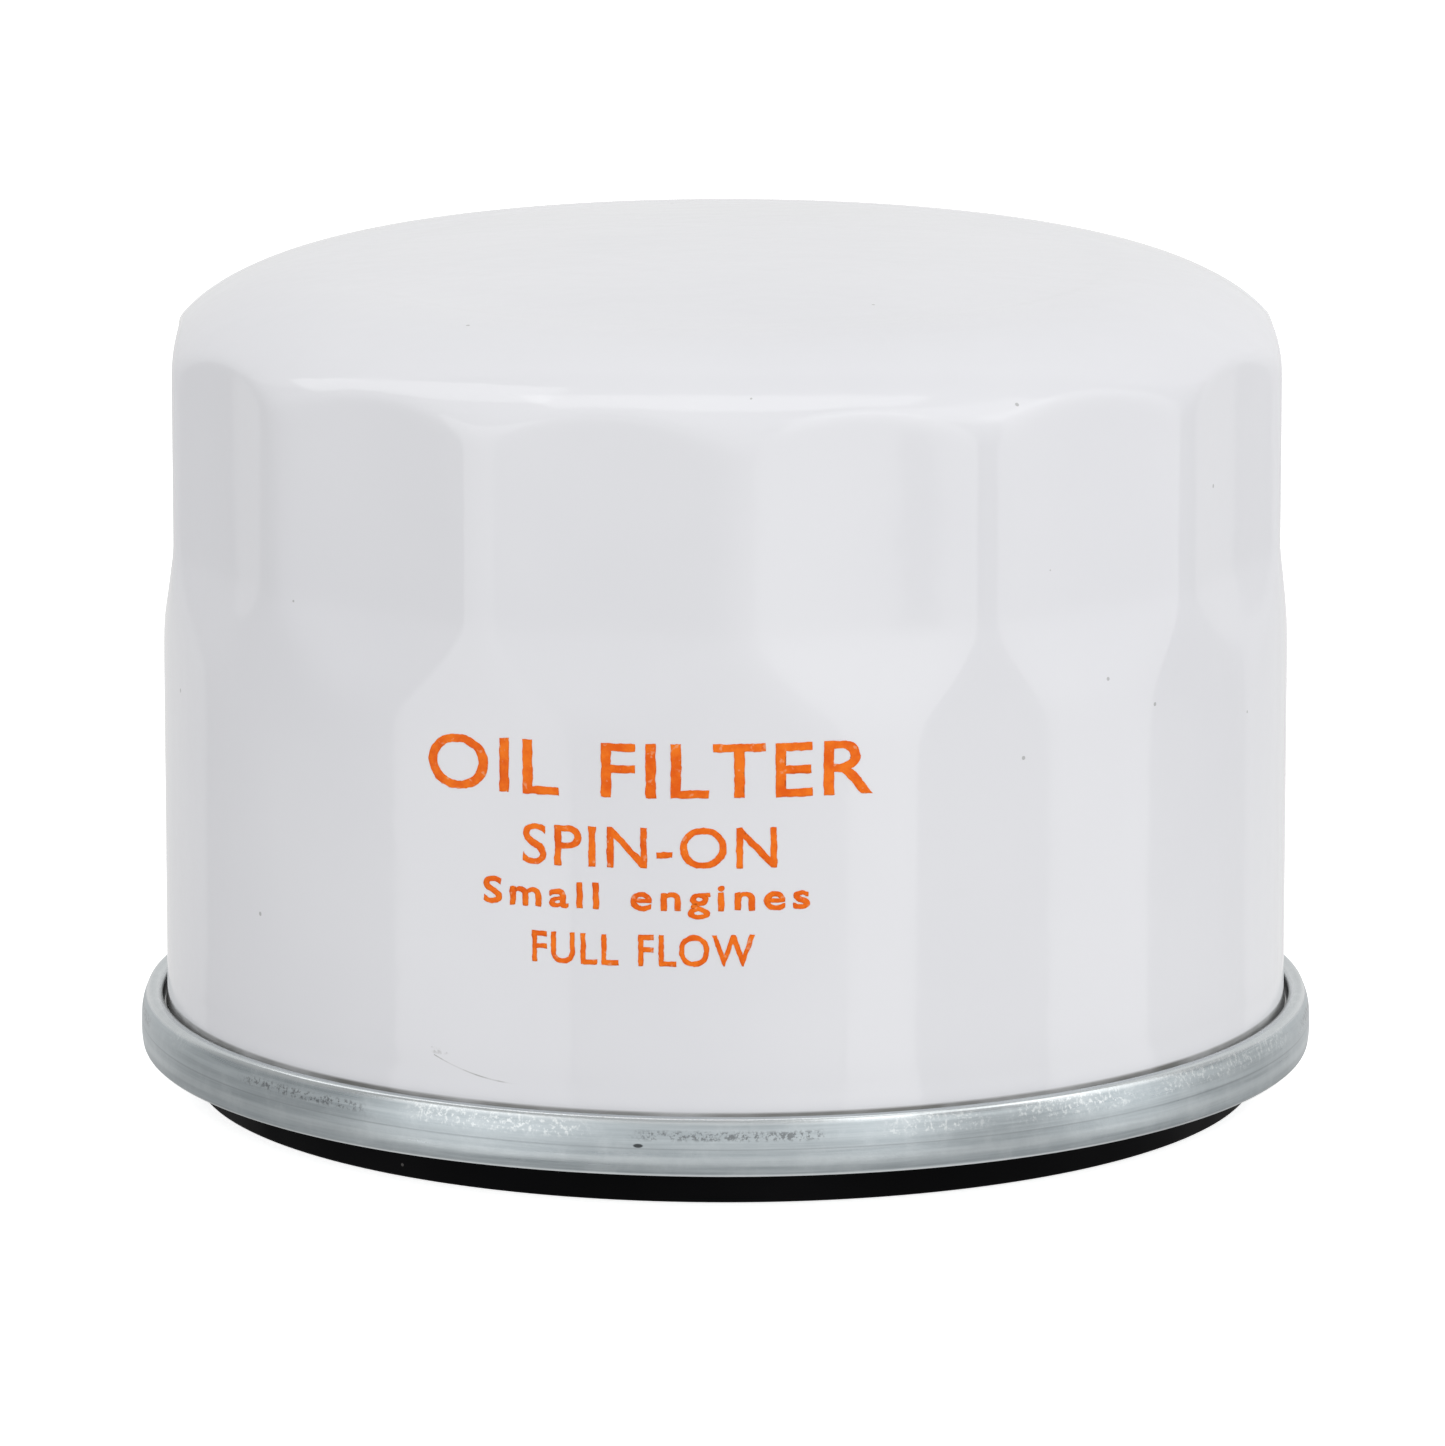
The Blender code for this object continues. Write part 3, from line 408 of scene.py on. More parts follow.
def make_gasket():
    """The square-cut gasket ring, whose sides bulge a little."""
    profile = rounded(
        [
            (GASKET_INNER_R + GASKET_FOOT_IN, 0.0),
            (GASKET_OUTER_R - GASKET_FOOT_OUT, 0.0),
            (GASKET_OUTER_R, 0.5 * GASKET_HEIGHT),
            (GASKET_OUTER_R - GASKET_BULGE, GASKET_HEIGHT),
            (GASKET_INNER_R + GASKET_BULGE, GASKET_HEIGHT),
            (GASKET_INNER_R, 0.5 * GASKET_HEIGHT),
        ],
        [0.35 * MM, 0.22 * MM, 1.2 * MM, 0.3 * MM, 0.3 * MM, 1.2 * MM],
        5,
    )
    return turned("gasket_ring", profile, 192, sharp_angle=40.0)


def thread_radius(height, angle):
    """Radius of the M20 x 1.5 internal thread, right-handed."""
    across = abs(2 * ((height / THREAD_PITCH - angle / (2 * pi)) % 1.0) - 1)
    depth = min(1.0, max(0.0, (across - THREAD_CREST) / THREAD_FLANK))
    cut = THREAD_MINOR_R + (THREAD_MAJOR_R - THREAD_MINOR_R) * depth
    low_bevel = THREAD_MINOR_R + HUB_LEAD_IN + BASE_BOTTOM_Z - height
    high_bevel = THREAD_MINOR_R + 0.5 * HUB_LEAD_IN + height - HUB_TOP_Z
    return max(cut, low_bevel, high_bevel)


def inlet_cutter():
    """Chamfered round tools for the inlets, one closed mesh for each."""
    middle = (BASE_BOTTOM_Z + BASE_TOP_Z) / 2
    half = (BASE_TOP_Z - BASE_BOTTOM_Z) / 2
    past = 1.0 * MM
    profile = [
        (0, -half - past),
        (INLET_R + INLET_CHAMFER + past, -half - past),
        (INLET_R, -half + INLET_CHAMFER),
        (INLET_R, half - INLET_CHAMFER),
        (INLET_R + INLET_CHAMFER + past, half + past),
        (0, half + past),
    ]
    points, faces = turned_points(profile, 48)
    all_points, all_faces = [], []
    for index in range(INLET_COUNT):
        turn = 2 * pi * index / INLET_COUNT
        centre = Vector((INLET_CIRCLE_R * sin(turn), -INLET_CIRCLE_R * cos(turn), middle))
        start = len(all_points)
        all_points += [tuple(Vector(point) + centre) for point in points]
        all_faces += [[corner + start for corner in face] for face in faces]
    return all_points, all_faces


def make_base_plate():
    """The thick base plate with its threaded hub and chamfered inlets."""
    body = rounded(
        [
            (THREAD_MINOR_R + HUB_LEAD_IN, BASE_BOTTOM_Z),
            (BASE_STEP_OUTER_R, BASE_BOTTOM_Z),
            (BASE_STEP_OUTER_R, BASE_RIM_BOTTOM_Z),
            (BASE_RIM_R, BASE_RIM_BOTTOM_Z),
            (BASE_RIM_R, BASE_RIM_TOP_Z),
            (BASE_STEP_INNER_R, BASE_RIM_TOP_Z),
            (BASE_STEP_INNER_R, BASE_TOP_Z),
            (HUB_OUTER_R, BASE_TOP_Z),
            (HUB_OUTER_R, HUB_TOP_Z),
            (THREAD_MINOR_R + 0.5 * HUB_LEAD_IN, HUB_TOP_Z),
        ],
        [0.0, 0.5 * MM, 0.3 * MM, 0.4 * MM, 0.4 * MM, 0.5 * MM, 0.5 * MM, 0.6 * MM, 0.4 * MM, 0.0],
        4,
    )
    samples = 72
    body_points = len(body)
    bore = []
    for sample in range(1, samples):
        height = HUB_TOP_Z + (BASE_BOTTOM_Z - HUB_TOP_Z) * sample / samples
        bore.append((THREAD_MINOR_R, height))

    def threaded(index, radius, height, angle):
        return radius if index < body_points else thread_radius(height, angle)

    plate = turned("base_plate_threaded", body + bore, 128, threaded)
    return cut_with(plate, *inlet_cutter(), "inlet_tools")


def make_valve():
    """The rubber anti-drainback diaphragm, with a moulded rib round its skirt."""
    skirt_r = (VALVE_COLLAR_R + VALVE_LIP_R) / 2
    slope = (VALVE_COLLAR_BOTTOM_Z - VALVE_SEAT_Z) / (VALVE_LIP_R - VALVE_COLLAR_R)
    rib_z = VALVE_SEAT_Z + (VALVE_LIP_R - skirt_r) * slope + VALVE_THICKNESS
    profile = rounded(
        [
            (VALVE_INNER_R, VALVE_TOP_Z),
            (VALVE_COLLAR_R, VALVE_TOP_Z),
            (VALVE_COLLAR_R, VALVE_COLLAR_BOTTOM_Z + VALVE_THICKNESS),
            (skirt_r - VALVE_RIB_HALF, rib_z + 0.05 * MM),
            (skirt_r, rib_z + VALVE_RIB_RISE),
            (skirt_r + VALVE_RIB_HALF, rib_z - VALVE_RIB_RISE),
            (VALVE_LIP_R - 0.6 * MM, VALVE_SEAT_Z + VALVE_THICKNESS),
            (VALVE_LIP_R, VALVE_SEAT_Z + 0.3 * VALVE_THICKNESS),
            (VALVE_LIP_R, VALVE_SEAT_Z),
            (VALVE_LIP_R - 1.0 * MM, VALVE_SEAT_Z),
            (VALVE_COLLAR_R - 0.3 * MM, VALVE_COLLAR_BOTTOM_Z),
            (VALVE_INNER_R, VALVE_COLLAR_BOTTOM_Z),
        ],
        0.3 * MM,
        3,
    )
    return turned("drainback_diaphragm", profile, 128)


# ---------------------------------------------------------------- springs


def make_coil():
    """The bypass valve's coil spring, with a closed and ground turn at each end."""
    low = COIL_LOW.z + COIL_WIRE_R
    high = COIL_HIGH.z - COIL_WIRE_R
    closed_rise = 2 * COIL_WIRE_R + 0.3 * MM
    open_turns = COIL_TURNS - 2
    per_turn, sides = 56, 14
    count = COIL_TURNS * per_turn
    points, faces = [], []
    for index in range(count + 1):
        turn = index / per_turn
        height = low + min(turn, 1.0) * closed_rise
        height += max(turn - COIL_TURNS + 1, 0.0) * closed_rise
        height += min(max(turn - 1.0, 0.0), open_turns) / open_turns * (high - low - 2 * closed_rise)
        angle = 2 * pi * turn
        outward = Vector((cos(angle), sin(angle), 0.0))
        centre = outward * COIL_MEAN_R + Vector((0.0, 0.0, height))
        for side in range(sides):
            around = 2 * pi * side / sides
            lift = Vector((0.0, 0.0, COIL_WIRE_R * sin(around)))
            points.append(tuple(centre + outward * COIL_WIRE_R * cos(around) + lift))
    for index in range(count):
        for side in range(sides):
            after = (side + 1) % sides
            here, there = index * sides, (index + 1) * sides
            faces.append([here + side, here + after, there + after, there + side])
    faces.append(list(range(sides)))
    faces.append(list(range(count * sides, (count + 1) * sides)))
    return mesh_object("bypass_coil", points, faces)


def leaf_slots():
    """Box tools with a rounded inner end, one for each gap between two leaves."""
    start_r = LEAF_RING_OUTER_R + LEAF_SLOT_START * (LEAF_TIP_R - LEAF_RING_OUTER_R)
    half, corner = LEAF_SLOT_WIDTH / 2, LEAF_SLOT_CORNER
    past_end, past_face = 4 * MM, 6 * MM
    low_z, high_z = LEAF_LOW.z - past_face, LEAF_HIGH.z + past_face
    outline = [(half, LEAF_TIP_R + past_end), (-half, LEAF_TIP_R + past_end)]
    steps = 8
    turns = [(pi / 2) * step / steps for step in range(steps + 1)]
    for turn in turns:
        outline.append((-half + corner * (1 - cos(turn)), start_r + corner * (1 - sin(turn))))
    for turn in reversed(turns):
        outline.append((half - corner * (1 - cos(turn)), start_r + corner * (1 - sin(turn))))
    points, faces = [], []
    for index in range(LEAF_COUNT):
        spin = Matrix.Rotation(2 * pi * index / LEAF_COUNT, 3, "Z")
        start = len(points)
        count = len(outline)
        for height in (low_z, high_z):
            for x, reach in outline:
                points.append(tuple(spin @ Vector((x, -reach, height))))
        faces.append([start + corner_index for corner_index in range(count)])
        faces.append([start + count + corner_index for corner_index in range(count)])
        for here in range(count):
            after = (here + 1) % count
            faces.append([start + here, start + after, start + count + after, start + count + here])
    return points, faces


def make_leaf_spring():
    """The leaf spring: a flat ring on the element, with leaves that rise to the dome."""
    ring_z, tip_z = LEAF_LOW.z, LEAF_HIGH.z
    profile = rounded(
        [
            (LEAF_RING_INNER_R, ring_z),
            (LEAF_RING_OUTER_R, ring_z),
            (LEAF_TIP_R, tip_z - LEAF_SHEET),
            (LEAF_TIP_R, tip_z),
            (LEAF_RING_OUTER_R, ring_z + LEAF_SHEET),
            (LEAF_RING_INNER_R, ring_z + LEAF_SHEET),
        ],
        [0.12 * MM, 1.2 * MM, 0.12 * MM, 0.12 * MM, 1.2 * MM, 0.12 * MM],
        4,
    )
    return cut_with(turned("leaf_spring", profile, 192), *leaf_slots(), "leaf_slot_tools")


# ---------------------------------------------------------------- printing


def flat_text(words, spacing, weight):
    """A filled flat mesh of the words, in the font's own units."""
    curve = bpy.data.curves.new("words", "FONT")
    curve.body = words
    curve.space_character = spacing
    curve.space_word = 1.25
    curve.offset = weight
    curve.resolution_u = 6
    holder = bpy.data.objects.new("words", curve)
    bpy.context.scene.collection.objects.link(holder)
    bpy.context.view_layer.update()
    graph = bpy.context.evaluated_depsgraph_get()
    mesh = bpy.data.meshes.new_from_object(holder.evaluated_get(graph), depsgraph=graph)
    bpy.data.objects.remove(holder, do_unlink=True)
    bpy.data.curves.remove(curve)
    return mesh


def edge_directions(made):
    """For each vertex on the open edge of a flat mesh, the way out of the shape."""
    outward = {}
    for edge in made.edges:
        if not edge.is_boundary:
            continue
        start, end = edge.verts
        along = (end.co - start.co).normalized()
        out = Vector((along.y, -along.x, 0.0))
        if out.dot(edge.link_faces[0].calc_center_median() - start.co) > 0:
            out = -out
        for vert in (start, end):
            outward[vert] = outward.get(vert, Vector()) + out
    return {vert: out.normalized() for vert, out in outward.items()}


def print_line(name, words, width, height, middle, base_z, spacing, weight, spread):
    """One printed line: a thin ink film that follows the can, with the stamp's ragged outline."""
    mesh = flat_text(words, spacing, weight)
    made = bmesh.new()
    made.from_mesh(mesh)
    bmesh.ops.remove_doubles(made, verts=made.verts, dist=1e-5)
    low_x = min(vert.co.x for vert in made.verts)
    high_x = max(vert.co.x for vert in made.verts)
    low_y = min(vert.co.y for vert in made.verts)
    high_y = max(vert.co.y for vert in made.verts)
    for vert in made.verts:
        vert.co.x = ((vert.co.x - low_x) / (high_x - low_x) - 0.5) * width
        vert.co.y = (vert.co.y - low_y) / (high_y - low_y) * height
        vert.co.z = 0.0
    across, up = Vector((1, 0, 0)), Vector((0, 1, 0))
    for axis, low, high in ((across, -width / 2, width / 2), (up, 0.0, height)):
        cuts = int((high - low) / PRINT_GRAIN)
        for index in range(1, cuts):
            place = axis * (low + (high - low) * index / cuts)
            everything = made.verts[:] + made.edges[:] + made.faces[:]
            bmesh.ops.bisect_plane(made, geom=everything, dist=1e-7, plane_co=place, plane_no=axis)
    bmesh.ops.dissolve_degenerate(made, edges=made.edges, dist=5e-6)
    for vert, out in edge_directions(made).items():
        spot = Vector((vert.co.x, vert.co.y, base_z)) / MM
        shift = Vector()
        for waves, reach in RAGGED_WAVES:
            shift += noise.noise_vector(spot * waves) * reach
        vert.co.x += shift.x * MM + out.x * spread
        vert.co.y += shift.y * MM + out.y * spread
    faces = made.faces[:]
    raised = bmesh.ops.extrude_face_region(made, geom=faces)["geom"]
    top = {item for item in raised if isinstance(item, bmesh.types.BMVert)}
    for vert in made.verts:
        angle = middle + vert.co.x / CAN_R
        height_here = base_z + vert.co.y + PRINT_TILT * vert.co.x
        film = INK_OUTSIDE if vert in top else INK_INSIDE
        radius = pressed_radius(CAN_R, height_here, angle, 0.0) + film
        vert.co = Vector((radius * sin(angle), -radius * cos(angle), height_here))
    bmesh.ops.recalc_face_normals(made, faces=made.faces)
    made.to_mesh(mesh)
    made.free()
    mesh.name = name
    thing = bpy.data.objects.new(name, mesh)
    bpy.context.scene.collection.objects.link(thing)
    return thing


# ---------------------------------------------------------------- materials


class Shades:
    """A new node material and the few node kinds that these looks use."""

    def __init__(self, name, roughness, metallic=0.0, **sockets):
        self.material = bpy.data.materials.new(name)
        self.material.use_nodes = True
        self.tree = self.material.node_tree
        self.shader = self.tree.nodes["Principled BSDF"]
        self.shader.inputs["Roughness"].default_value = roughness
        self.shader.inputs["Metallic"].default_value = metallic
        for socket, value in sockets.items():
            self.shader.inputs[socket.replace("_", " ")].default_value = value
        self.place = self.node("ShaderNodeTexCoord").outputs["Object"]

    def node(self, kind, **settings):
        made = self.tree.nodes.new(kind)
        for setting, value in settings.items():
            setattr(made, setting, value)
        return made

    def feed(self, socket, value):
        if isinstance(value, bpy.types.NodeSocket):
            self.tree.links.new(value, socket)
        else:
            socket.default_value = value

    def maths(self, operation, first, second=0.0, clamp=False):
        made = self.node("ShaderNodeMath", operation=operation, use_clamp=clamp)
        self.feed(made.inputs[0], first)
        self.feed(made.inputs[1], second)
        return made.outputs[0]

    def stretched(self, scale):
        made = self.node("ShaderNodeMapping")
        self.feed(made.inputs["Vector"], self.place)
        made.inputs["Scale"].default_value = scale
        return made.outputs[0]

    def noise(self, scale, detail=3.0, rough=0.5, place=None):
        made = self.node("ShaderNodeTexNoise")
        self.feed(made.inputs["Vector"], place or self.place)
        made.inputs["Scale"].default_value = scale
        made.inputs["Detail"].default_value = detail
        made.inputs["Roughness"].default_value = rough
        return made.outputs[0]

    def cells(self, scale, output="Distance"):
        made = self.node("ShaderNodeTexVoronoi")
        self.feed(made.inputs["Vector"], self.place)
        made.inputs["Scale"].default_value = scale
        return made.outputs[output]

    def between(self, value, low, high, to_low=0.0, to_high=1.0, smooth=True):
        kind = "SMOOTHSTEP" if smooth else "LINEAR"
        made = self.node("ShaderNodeMapRange", interpolation_type=kind)
        self.feed(made.inputs["Value"], value)
        made.inputs["From Min"].default_value = low
        made.inputs["From Max"].default_value = high
        made.inputs["To Min"].default_value = to_low
        made.inputs["To Max"].default_value = to_high
        return made.outputs[0]

    def mix(self, share, first, second):
        made = self.node("ShaderNodeMix", data_type="RGBA")
        self.feed(made.inputs["Factor"], share)
        self.feed(made.inputs["A"], first if not isinstance(first, tuple) else (*first, 1.0))
        self.feed(made.inputs["B"], second if not isinstance(second, tuple) else (*second, 1.0))
        return made.outputs["Result"]

    def bump(self, height, distance, strength=1.0, normal=None):
        made = self.node("ShaderNodeBump")
        made.inputs["Distance"].default_value = distance
        made.inputs["Strength"].default_value = strength
        self.feed(made.inputs["Height"], height)
        if normal:
            self.feed(made.inputs["Normal"], normal)
        return made.outputs[0]

    def axes(self):
        made = self.node("ShaderNodeSeparateXYZ")
        self.feed(made.inputs[0], self.place)
        return made.outputs["X"], made.outputs["Y"], made.outputs["Z"]

    def colour(self, value):
        self.feed(self.shader.inputs["Base Color"], value)

    def roughness(self, value):
        self.feed(self.shader.inputs["Roughness"], value)

    def normal(self, value):
        self.feed(self.shader.inputs["Normal"], value)


def spot_mask(shades, angle, height, half_width, half_height, reach):
    """1 inside a small ellipse on the wall at that angle and height, on the front half."""
    x, y, z = shades.axes()
    across = shades.maths("DIVIDE", shades.maths("SUBTRACT", x, reach * sin(angle)), half_width)
    up = shades.maths("DIVIDE", shades.maths("SUBTRACT", z, height), half_height)
    distance = shades.maths("ADD", shades.maths("POWER", across, 2.0), shades.maths("POWER", up, 2.0))
    inside = shades.between(distance, 1.0, 0.4)
    front = shades.maths("LESS_THAN", y, 0.0)
    return shades.maths("MULTIPLY", inside, front)


def scratch_mask(shades):
    """A fine curved scratch low on the wall, with a faint scuff at its upper end."""
    x, y, height = shades.axes()
    angle = shades.maths("ARCTAN2", x, shades.maths("MULTIPLY", y, -1.0))
    start, end = radians(-30.0), radians(-20.5)
    along = shades.between(angle, end, start, smooth=False)
    curve = shades.maths("MULTIPLY", shades.maths("POWER", along, 2.0), 1.3 * MM)
    curve = shades.maths("ADD", curve, 7.5 * MM)
    off_curve = shades.maths("ABSOLUTE", shades.maths("SUBTRACT", height, curve))
    line = shades.between(off_curve, 0.055 * MM, 0.02 * MM)
    ends = shades.maths(
        "MULTIPLY",
        shades.maths("GREATER_THAN", angle, start),
        shades.between(angle, end, end - radians(3.0)),
    )
    broken = shades.between(shades.noise(900.0, 3.0), 0.38, 0.55, 0.25, 0.8)
    line = shades.maths("MULTIPLY", shades.maths("MULTIPLY", line, ends), broken)
    scuff = spot_mask(shades, radians(-29.6), 9.1 * MM, 1.0 * MM, 0.28 * MM, CAN_R)
    dabs = shades.between(shades.noise(1600.0, 4.0, 0.7), 0.52, 0.64, 0.0, 0.4)
    scuff = shades.maths("MULTIPLY", scuff, dabs)
    return shades.maths("MAXIMUM", line, scuff)


def speck_mask(shades, scale, size, patch_scale, chance):
    """1 in small round specks, in the patches where a coarser noise is over chance."""
    speck = shades.maths("LESS_THAN", shades.cells(scale), size)
    patch = shades.maths("GREATER_THAN", shades.noise(patch_scale, 1.0), chance)
    return shades.maths("MULTIPLY", speck, patch)


def paint():
    """Glossy white stoving paint: clouds, orange peel, a few specks, a scratch, and painted shade at the
    seam.
    """
    white, whiter = (0.738, 0.742, 0.773), (0.766, 0.770, 0.798)
    speck_grey, scratch_grey, painted_shade_brown = (0.25, 0.25, 0.24), (0.34, 0.34, 0.335), (0.13, 0.13, 0.115)
    shades = Shades("white_paint", 0.16)
    tone = shades.mix(shades.between(shades.noise(38.0, 3.0), 0.3, 0.7), white, whiter)
    specks = speck_mask(shades, 260.0, 0.036, 95.0, 0.52)
    tone = shades.mix(shades.maths("MULTIPLY", specks, 0.55), tone, speck_grey)
    tone = shades.mix(scratch_mask(shades), tone, scratch_grey)
    height = shades.axes()[2]
    # Painted shade: a dark brownish line on the wall just above the seam, standing in for the shadow in
    # the gap there.
    seam_painted_shade = shades.between(height, SEAM_TOP_Z + 0.12 * MM, SEAM_TOP_Z - 0.08 * MM)
    thickness = shades.between(shades.noise(160.0, 3.0), 0.3, 0.7, 0.5, 0.9)
    tone = shades.mix(shades.maths("MULTIPLY", seam_painted_shade, thickness), tone, painted_shade_brown)
    shades.colour(tone)
    shades.roughness(shades.between(shades.noise(120.0, 2.0), 0.3, 0.7, 0.05, 0.08))
    peel = shades.noise(520.0, 2.0, 0.45)
    shades.normal(shades.bump(peel, 0.012 * MM))
    return shades.material


def height_band(shades, height, start, full, fading, end):
    """1 between two heights in mm, with soft ends."""
    rising = shades.between(height, start * MM, full * MM)
    falling = shades.between(height, end * MM, fading * MM)
    return shades.maths("MULTIPLY", rising, falling)


def zinc_patches(shades, angle):
    """Noise that is high where the seam is pitted and low where its grain is bright, round the filter."""
    turn = shades.maths("MULTIPLY", shades.maths("ADD", angle, radians(2.0)), 8.0)
    wave = shades.maths("MULTIPLY", shades.maths("COSINE", turn), 0.22)
    grained = shades.maths(
        "MULTIPLY",
        shades.between(angle, radians(26.0), radians(34.0)),
        shades.between(angle, radians(64.0), radians(50.0)),
    )
    wave = shades.maths("SUBTRACT", wave, shades.maths("MULTIPLY", grained, 0.4))
    return shades.maths("ADD", wave, shades.noise(60.0, 2.0))


def zinc():
    """Zinc plate with rolling streaks, bands of dark pits and patches of bright grain, a paler lower face
    as painted light, and painted highlights along the rim and the foot.
    """
    dark, light, mottled = (0.36, 0.40, 0.42), (0.50, 0.545, 0.565), (0.60, 0.64, 0.655)
    pitted, painted_light_pale, sparkle = (0.12, 0.125, 0.13), (0.58, 0.62, 0.635), (0.86, 0.88, 0.87)
    painted_highlight_pale, crease, fleck = (0.80, 0.82, 0.82), (0.2, 0.22, 0.235), (0.03, 0.032, 0.035)
    shades = Shades("zinc_plate", 0.34, 1.0)
    x, y, height = shades.axes()
    angle = shades.maths("ARCTAN2", x, shades.maths("MULTIPLY", y, -1.0))
    streaks = shades.noise(1.0, 5.0, 0.65, shades.stretched((60.0, 60.0, 2600.0)))
    mottle = shades.noise(420.0, 6.0, 0.7)
    grain = shades.noise(3400.0, 4.0, 0.75)
    patches = zinc_patches(shades, angle)
    tone = shades.mix(shades.between(streaks, 0.3, 0.72), dark, light)
    tone = shades.mix(shades.between(mottle, 0.42, 0.75, 0.0, 0.4), tone, mottled)

    pits = shades.between(grain, 0.5, 0.57)
    pits = shades.maths("MULTIPLY", pits, height_band(shades, height, 4.7, 5.0, 5.25, 5.55))
    pits = shades.maths("MULTIPLY", pits, shades.between(patches, 0.52, 0.64))
    tone = shades.mix(shades.maths("MULTIPLY", pits, 0.7), tone, pitted)
    # Painted light: a paler mottled band on the seam's lower face, where it turns down away from the
    # light.
    lower = height_band(shades, height, 3.1, 3.4, 3.6, 3.9)
    tone = shades.mix(shades.maths("MULTIPLY", mottle, lower), tone, painted_light_pale)
    bright = shades.between(grain, 0.5, 0.62)
    bright = shades.maths("MULTIPLY", bright, height_band(shades, height, 4.6, 5.2, 5.8, 6.2))
    bright = shades.maths("MULTIPLY", bright, shades.between(patches, 0.42, 0.3))
    tone = shades.mix(shades.maths("MULTIPLY", bright, 0.5), tone, sparkle)

    # Painted highlights: pale bands along the rim's top rounding and the seam's bottom edge, standing in
    # for the light these edges catch. The rim band also lowers the roughness there.
    rim = height_band(shades, height, 5.72, 5.98, 6.1, 6.3)
    foot = height_band(shades, height, 2.4, 2.5, 2.6, 2.74)
    edges = shades.maths("ADD", shades.maths("MULTIPLY", rim, 0.42), shades.maths("MULTIPLY", foot, 0.5))
    tone = shades.mix(edges, tone, painted_highlight_pale)
    rolling_line = height_band(shades, height, 4.22, 4.27, 4.31, 4.36)
    tone = shades.mix(shades.maths("MULTIPLY", rolling_line, 0.35), tone, crease)
    spot = spot_mask(shades, radians(-8.2), 4.47 * MM, 0.36 * MM, 0.15 * MM, SEAM_OUTER_R)
    tone = shades.mix(shades.maths("MULTIPLY", spot, 0.9), tone, fleck)
    shades.colour(tone)
    satin = shades.between(streaks, 0.25, 0.8, 0.26, 0.42)
    shades.roughness(shades.maths("SUBTRACT", satin, shades.maths("MULTIPLY", rim, 0.14)))
    rough = shades.bump(streaks, 0.008 * MM)
    shades.normal(shades.bump(grain, 0.012 * MM, 0.6, rough))
    return shades.material


def rubber(name, colour, bloom_rise, specular):
    """Moulded rubber with a faint bloom, a fine grain and a little dust."""
    dust_grey = (0.12, 0.115, 0.11)
    shades = Shades(name, 0.55, Specular_IOR_Level=specular)
    light = tuple(part * bloom_rise + 0.001 for part in colour)
    tone = shades.mix(shades.between(shades.noise(60.0, 4.0), 0.35, 0.75), colour, light)
    dust = speck_mask(shades, 330.0, 0.035, 120.0, 0.5)
    shades.colour(shades.mix(shades.maths("MULTIPLY", dust, 0.6), tone, dust_grey))
    shades.roughness(shades.between(shades.noise(150.0, 3.0), 0.3, 0.7, 0.42, 0.6))
    shades.normal(shades.bump(shades.noise(1800.0, 4.0, 0.6), 0.008 * MM))
    return shades.material


def sheet_metal(name, dark, light, roughness, streak):
    """Bare or tinned sheet with drawing streaks, stains and a fine grain. Streak is the noise's scale."""
    shades = Shades(name, roughness, 1.0)
    lines = shades.noise(1.0, 5.0, 0.6, shades.stretched(streak))
    stains = shades.noise(70.0, 5.0, 0.6)
    tone = shades.mix(shades.between(lines, 0.3, 0.7), dark, light)
    stained = tuple(part * 0.72 for part in dark)
    tone = shades.mix(shades.between(stains, 0.5, 0.78, 0.0, 0.6), tone, stained)
    shades.colour(tone)
    shades.roughness(shades.between(lines, 0.2, 0.8, roughness - 0.08, roughness + 0.14))
    shades.normal(shades.bump(shades.noise(900.0, 5.0, 0.65), 0.006 * MM))
    return shades.material


def filter_paper():
    """Resin-treated pleated paper with a fibre grain."""
    amber, straw, fibre_pale = (0.66, 0.43, 0.16), (0.78, 0.56, 0.27), (0.9, 0.76, 0.5)
    shades = Shades("filter_paper", 0.86)
    fibres = shades.noise(1.0, 6.0, 0.7, shades.stretched((1500.0, 1500.0, 420.0)))
    clouds = shades.noise(110.0, 3.0)
    tone = shades.mix(shades.between(clouds, 0.3, 0.7), amber, straw)
    tone = shades.mix(shades.between(fibres, 0.5, 0.72, 0.0, 0.55), tone, fibre_pale)
    shades.colour(tone)
    shades.roughness(shades.between(fibres, 0.3, 0.7, 0.78, 0.94))
    shades.normal(shades.bump(fibres, 0.04 * MM))
    return shades.material


def plastisol(name, dark, light):
    """Cured adhesive or sealing compound: soft lumps and small bubbles."""
    shades = Shades(name, 0.5)
    lumps = shades.noise(240.0, 4.0)
    bubbles = shades.between(shades.cells(700.0), 0.12, 0.3)
    tone = shades.mix(shades.between(lumps, 0.3, 0.7), dark, light)
    shades.colour(shades.mix(shades.maths("SUBTRACT", 1.0, bubbles), tone, dark))
    shades.roughness(shades.between(lumps, 0.3, 0.7, 0.38, 0.6))
    shades.normal(shades.bump(shades.maths("MULTIPLY", lumps, bubbles), 0.08 * MM))
    return shades.material


def ink():
    """Orange pad-printing ink, thin and mottled."""
    deep, orange, worn = (0.80, 0.115, 0.004), (0.93, 0.2, 0.012), (0.86, 0.5, 0.3)
    shades = Shades("orange_ink", 0.45, Specular_IOR_Level=0.12)
    body = shades.noise(900.0, 4.0, 0.65)
    tone = shades.mix(shades.between(body, 0.32, 0.68), deep, orange)
    thin = shades.between(shades.noise(2300.0, 2.0), 0.62, 0.72, 0.0, 0.45)
    shades.colour(shades.mix(thin, tone, worn))
    shades.roughness(shades.between(body, 0.3, 0.7, 0.28, 0.42))
    shades.normal(shades.bump(body, 0.006 * MM))
    return shades.material


# ---------------------------------------------------------------- stage and light


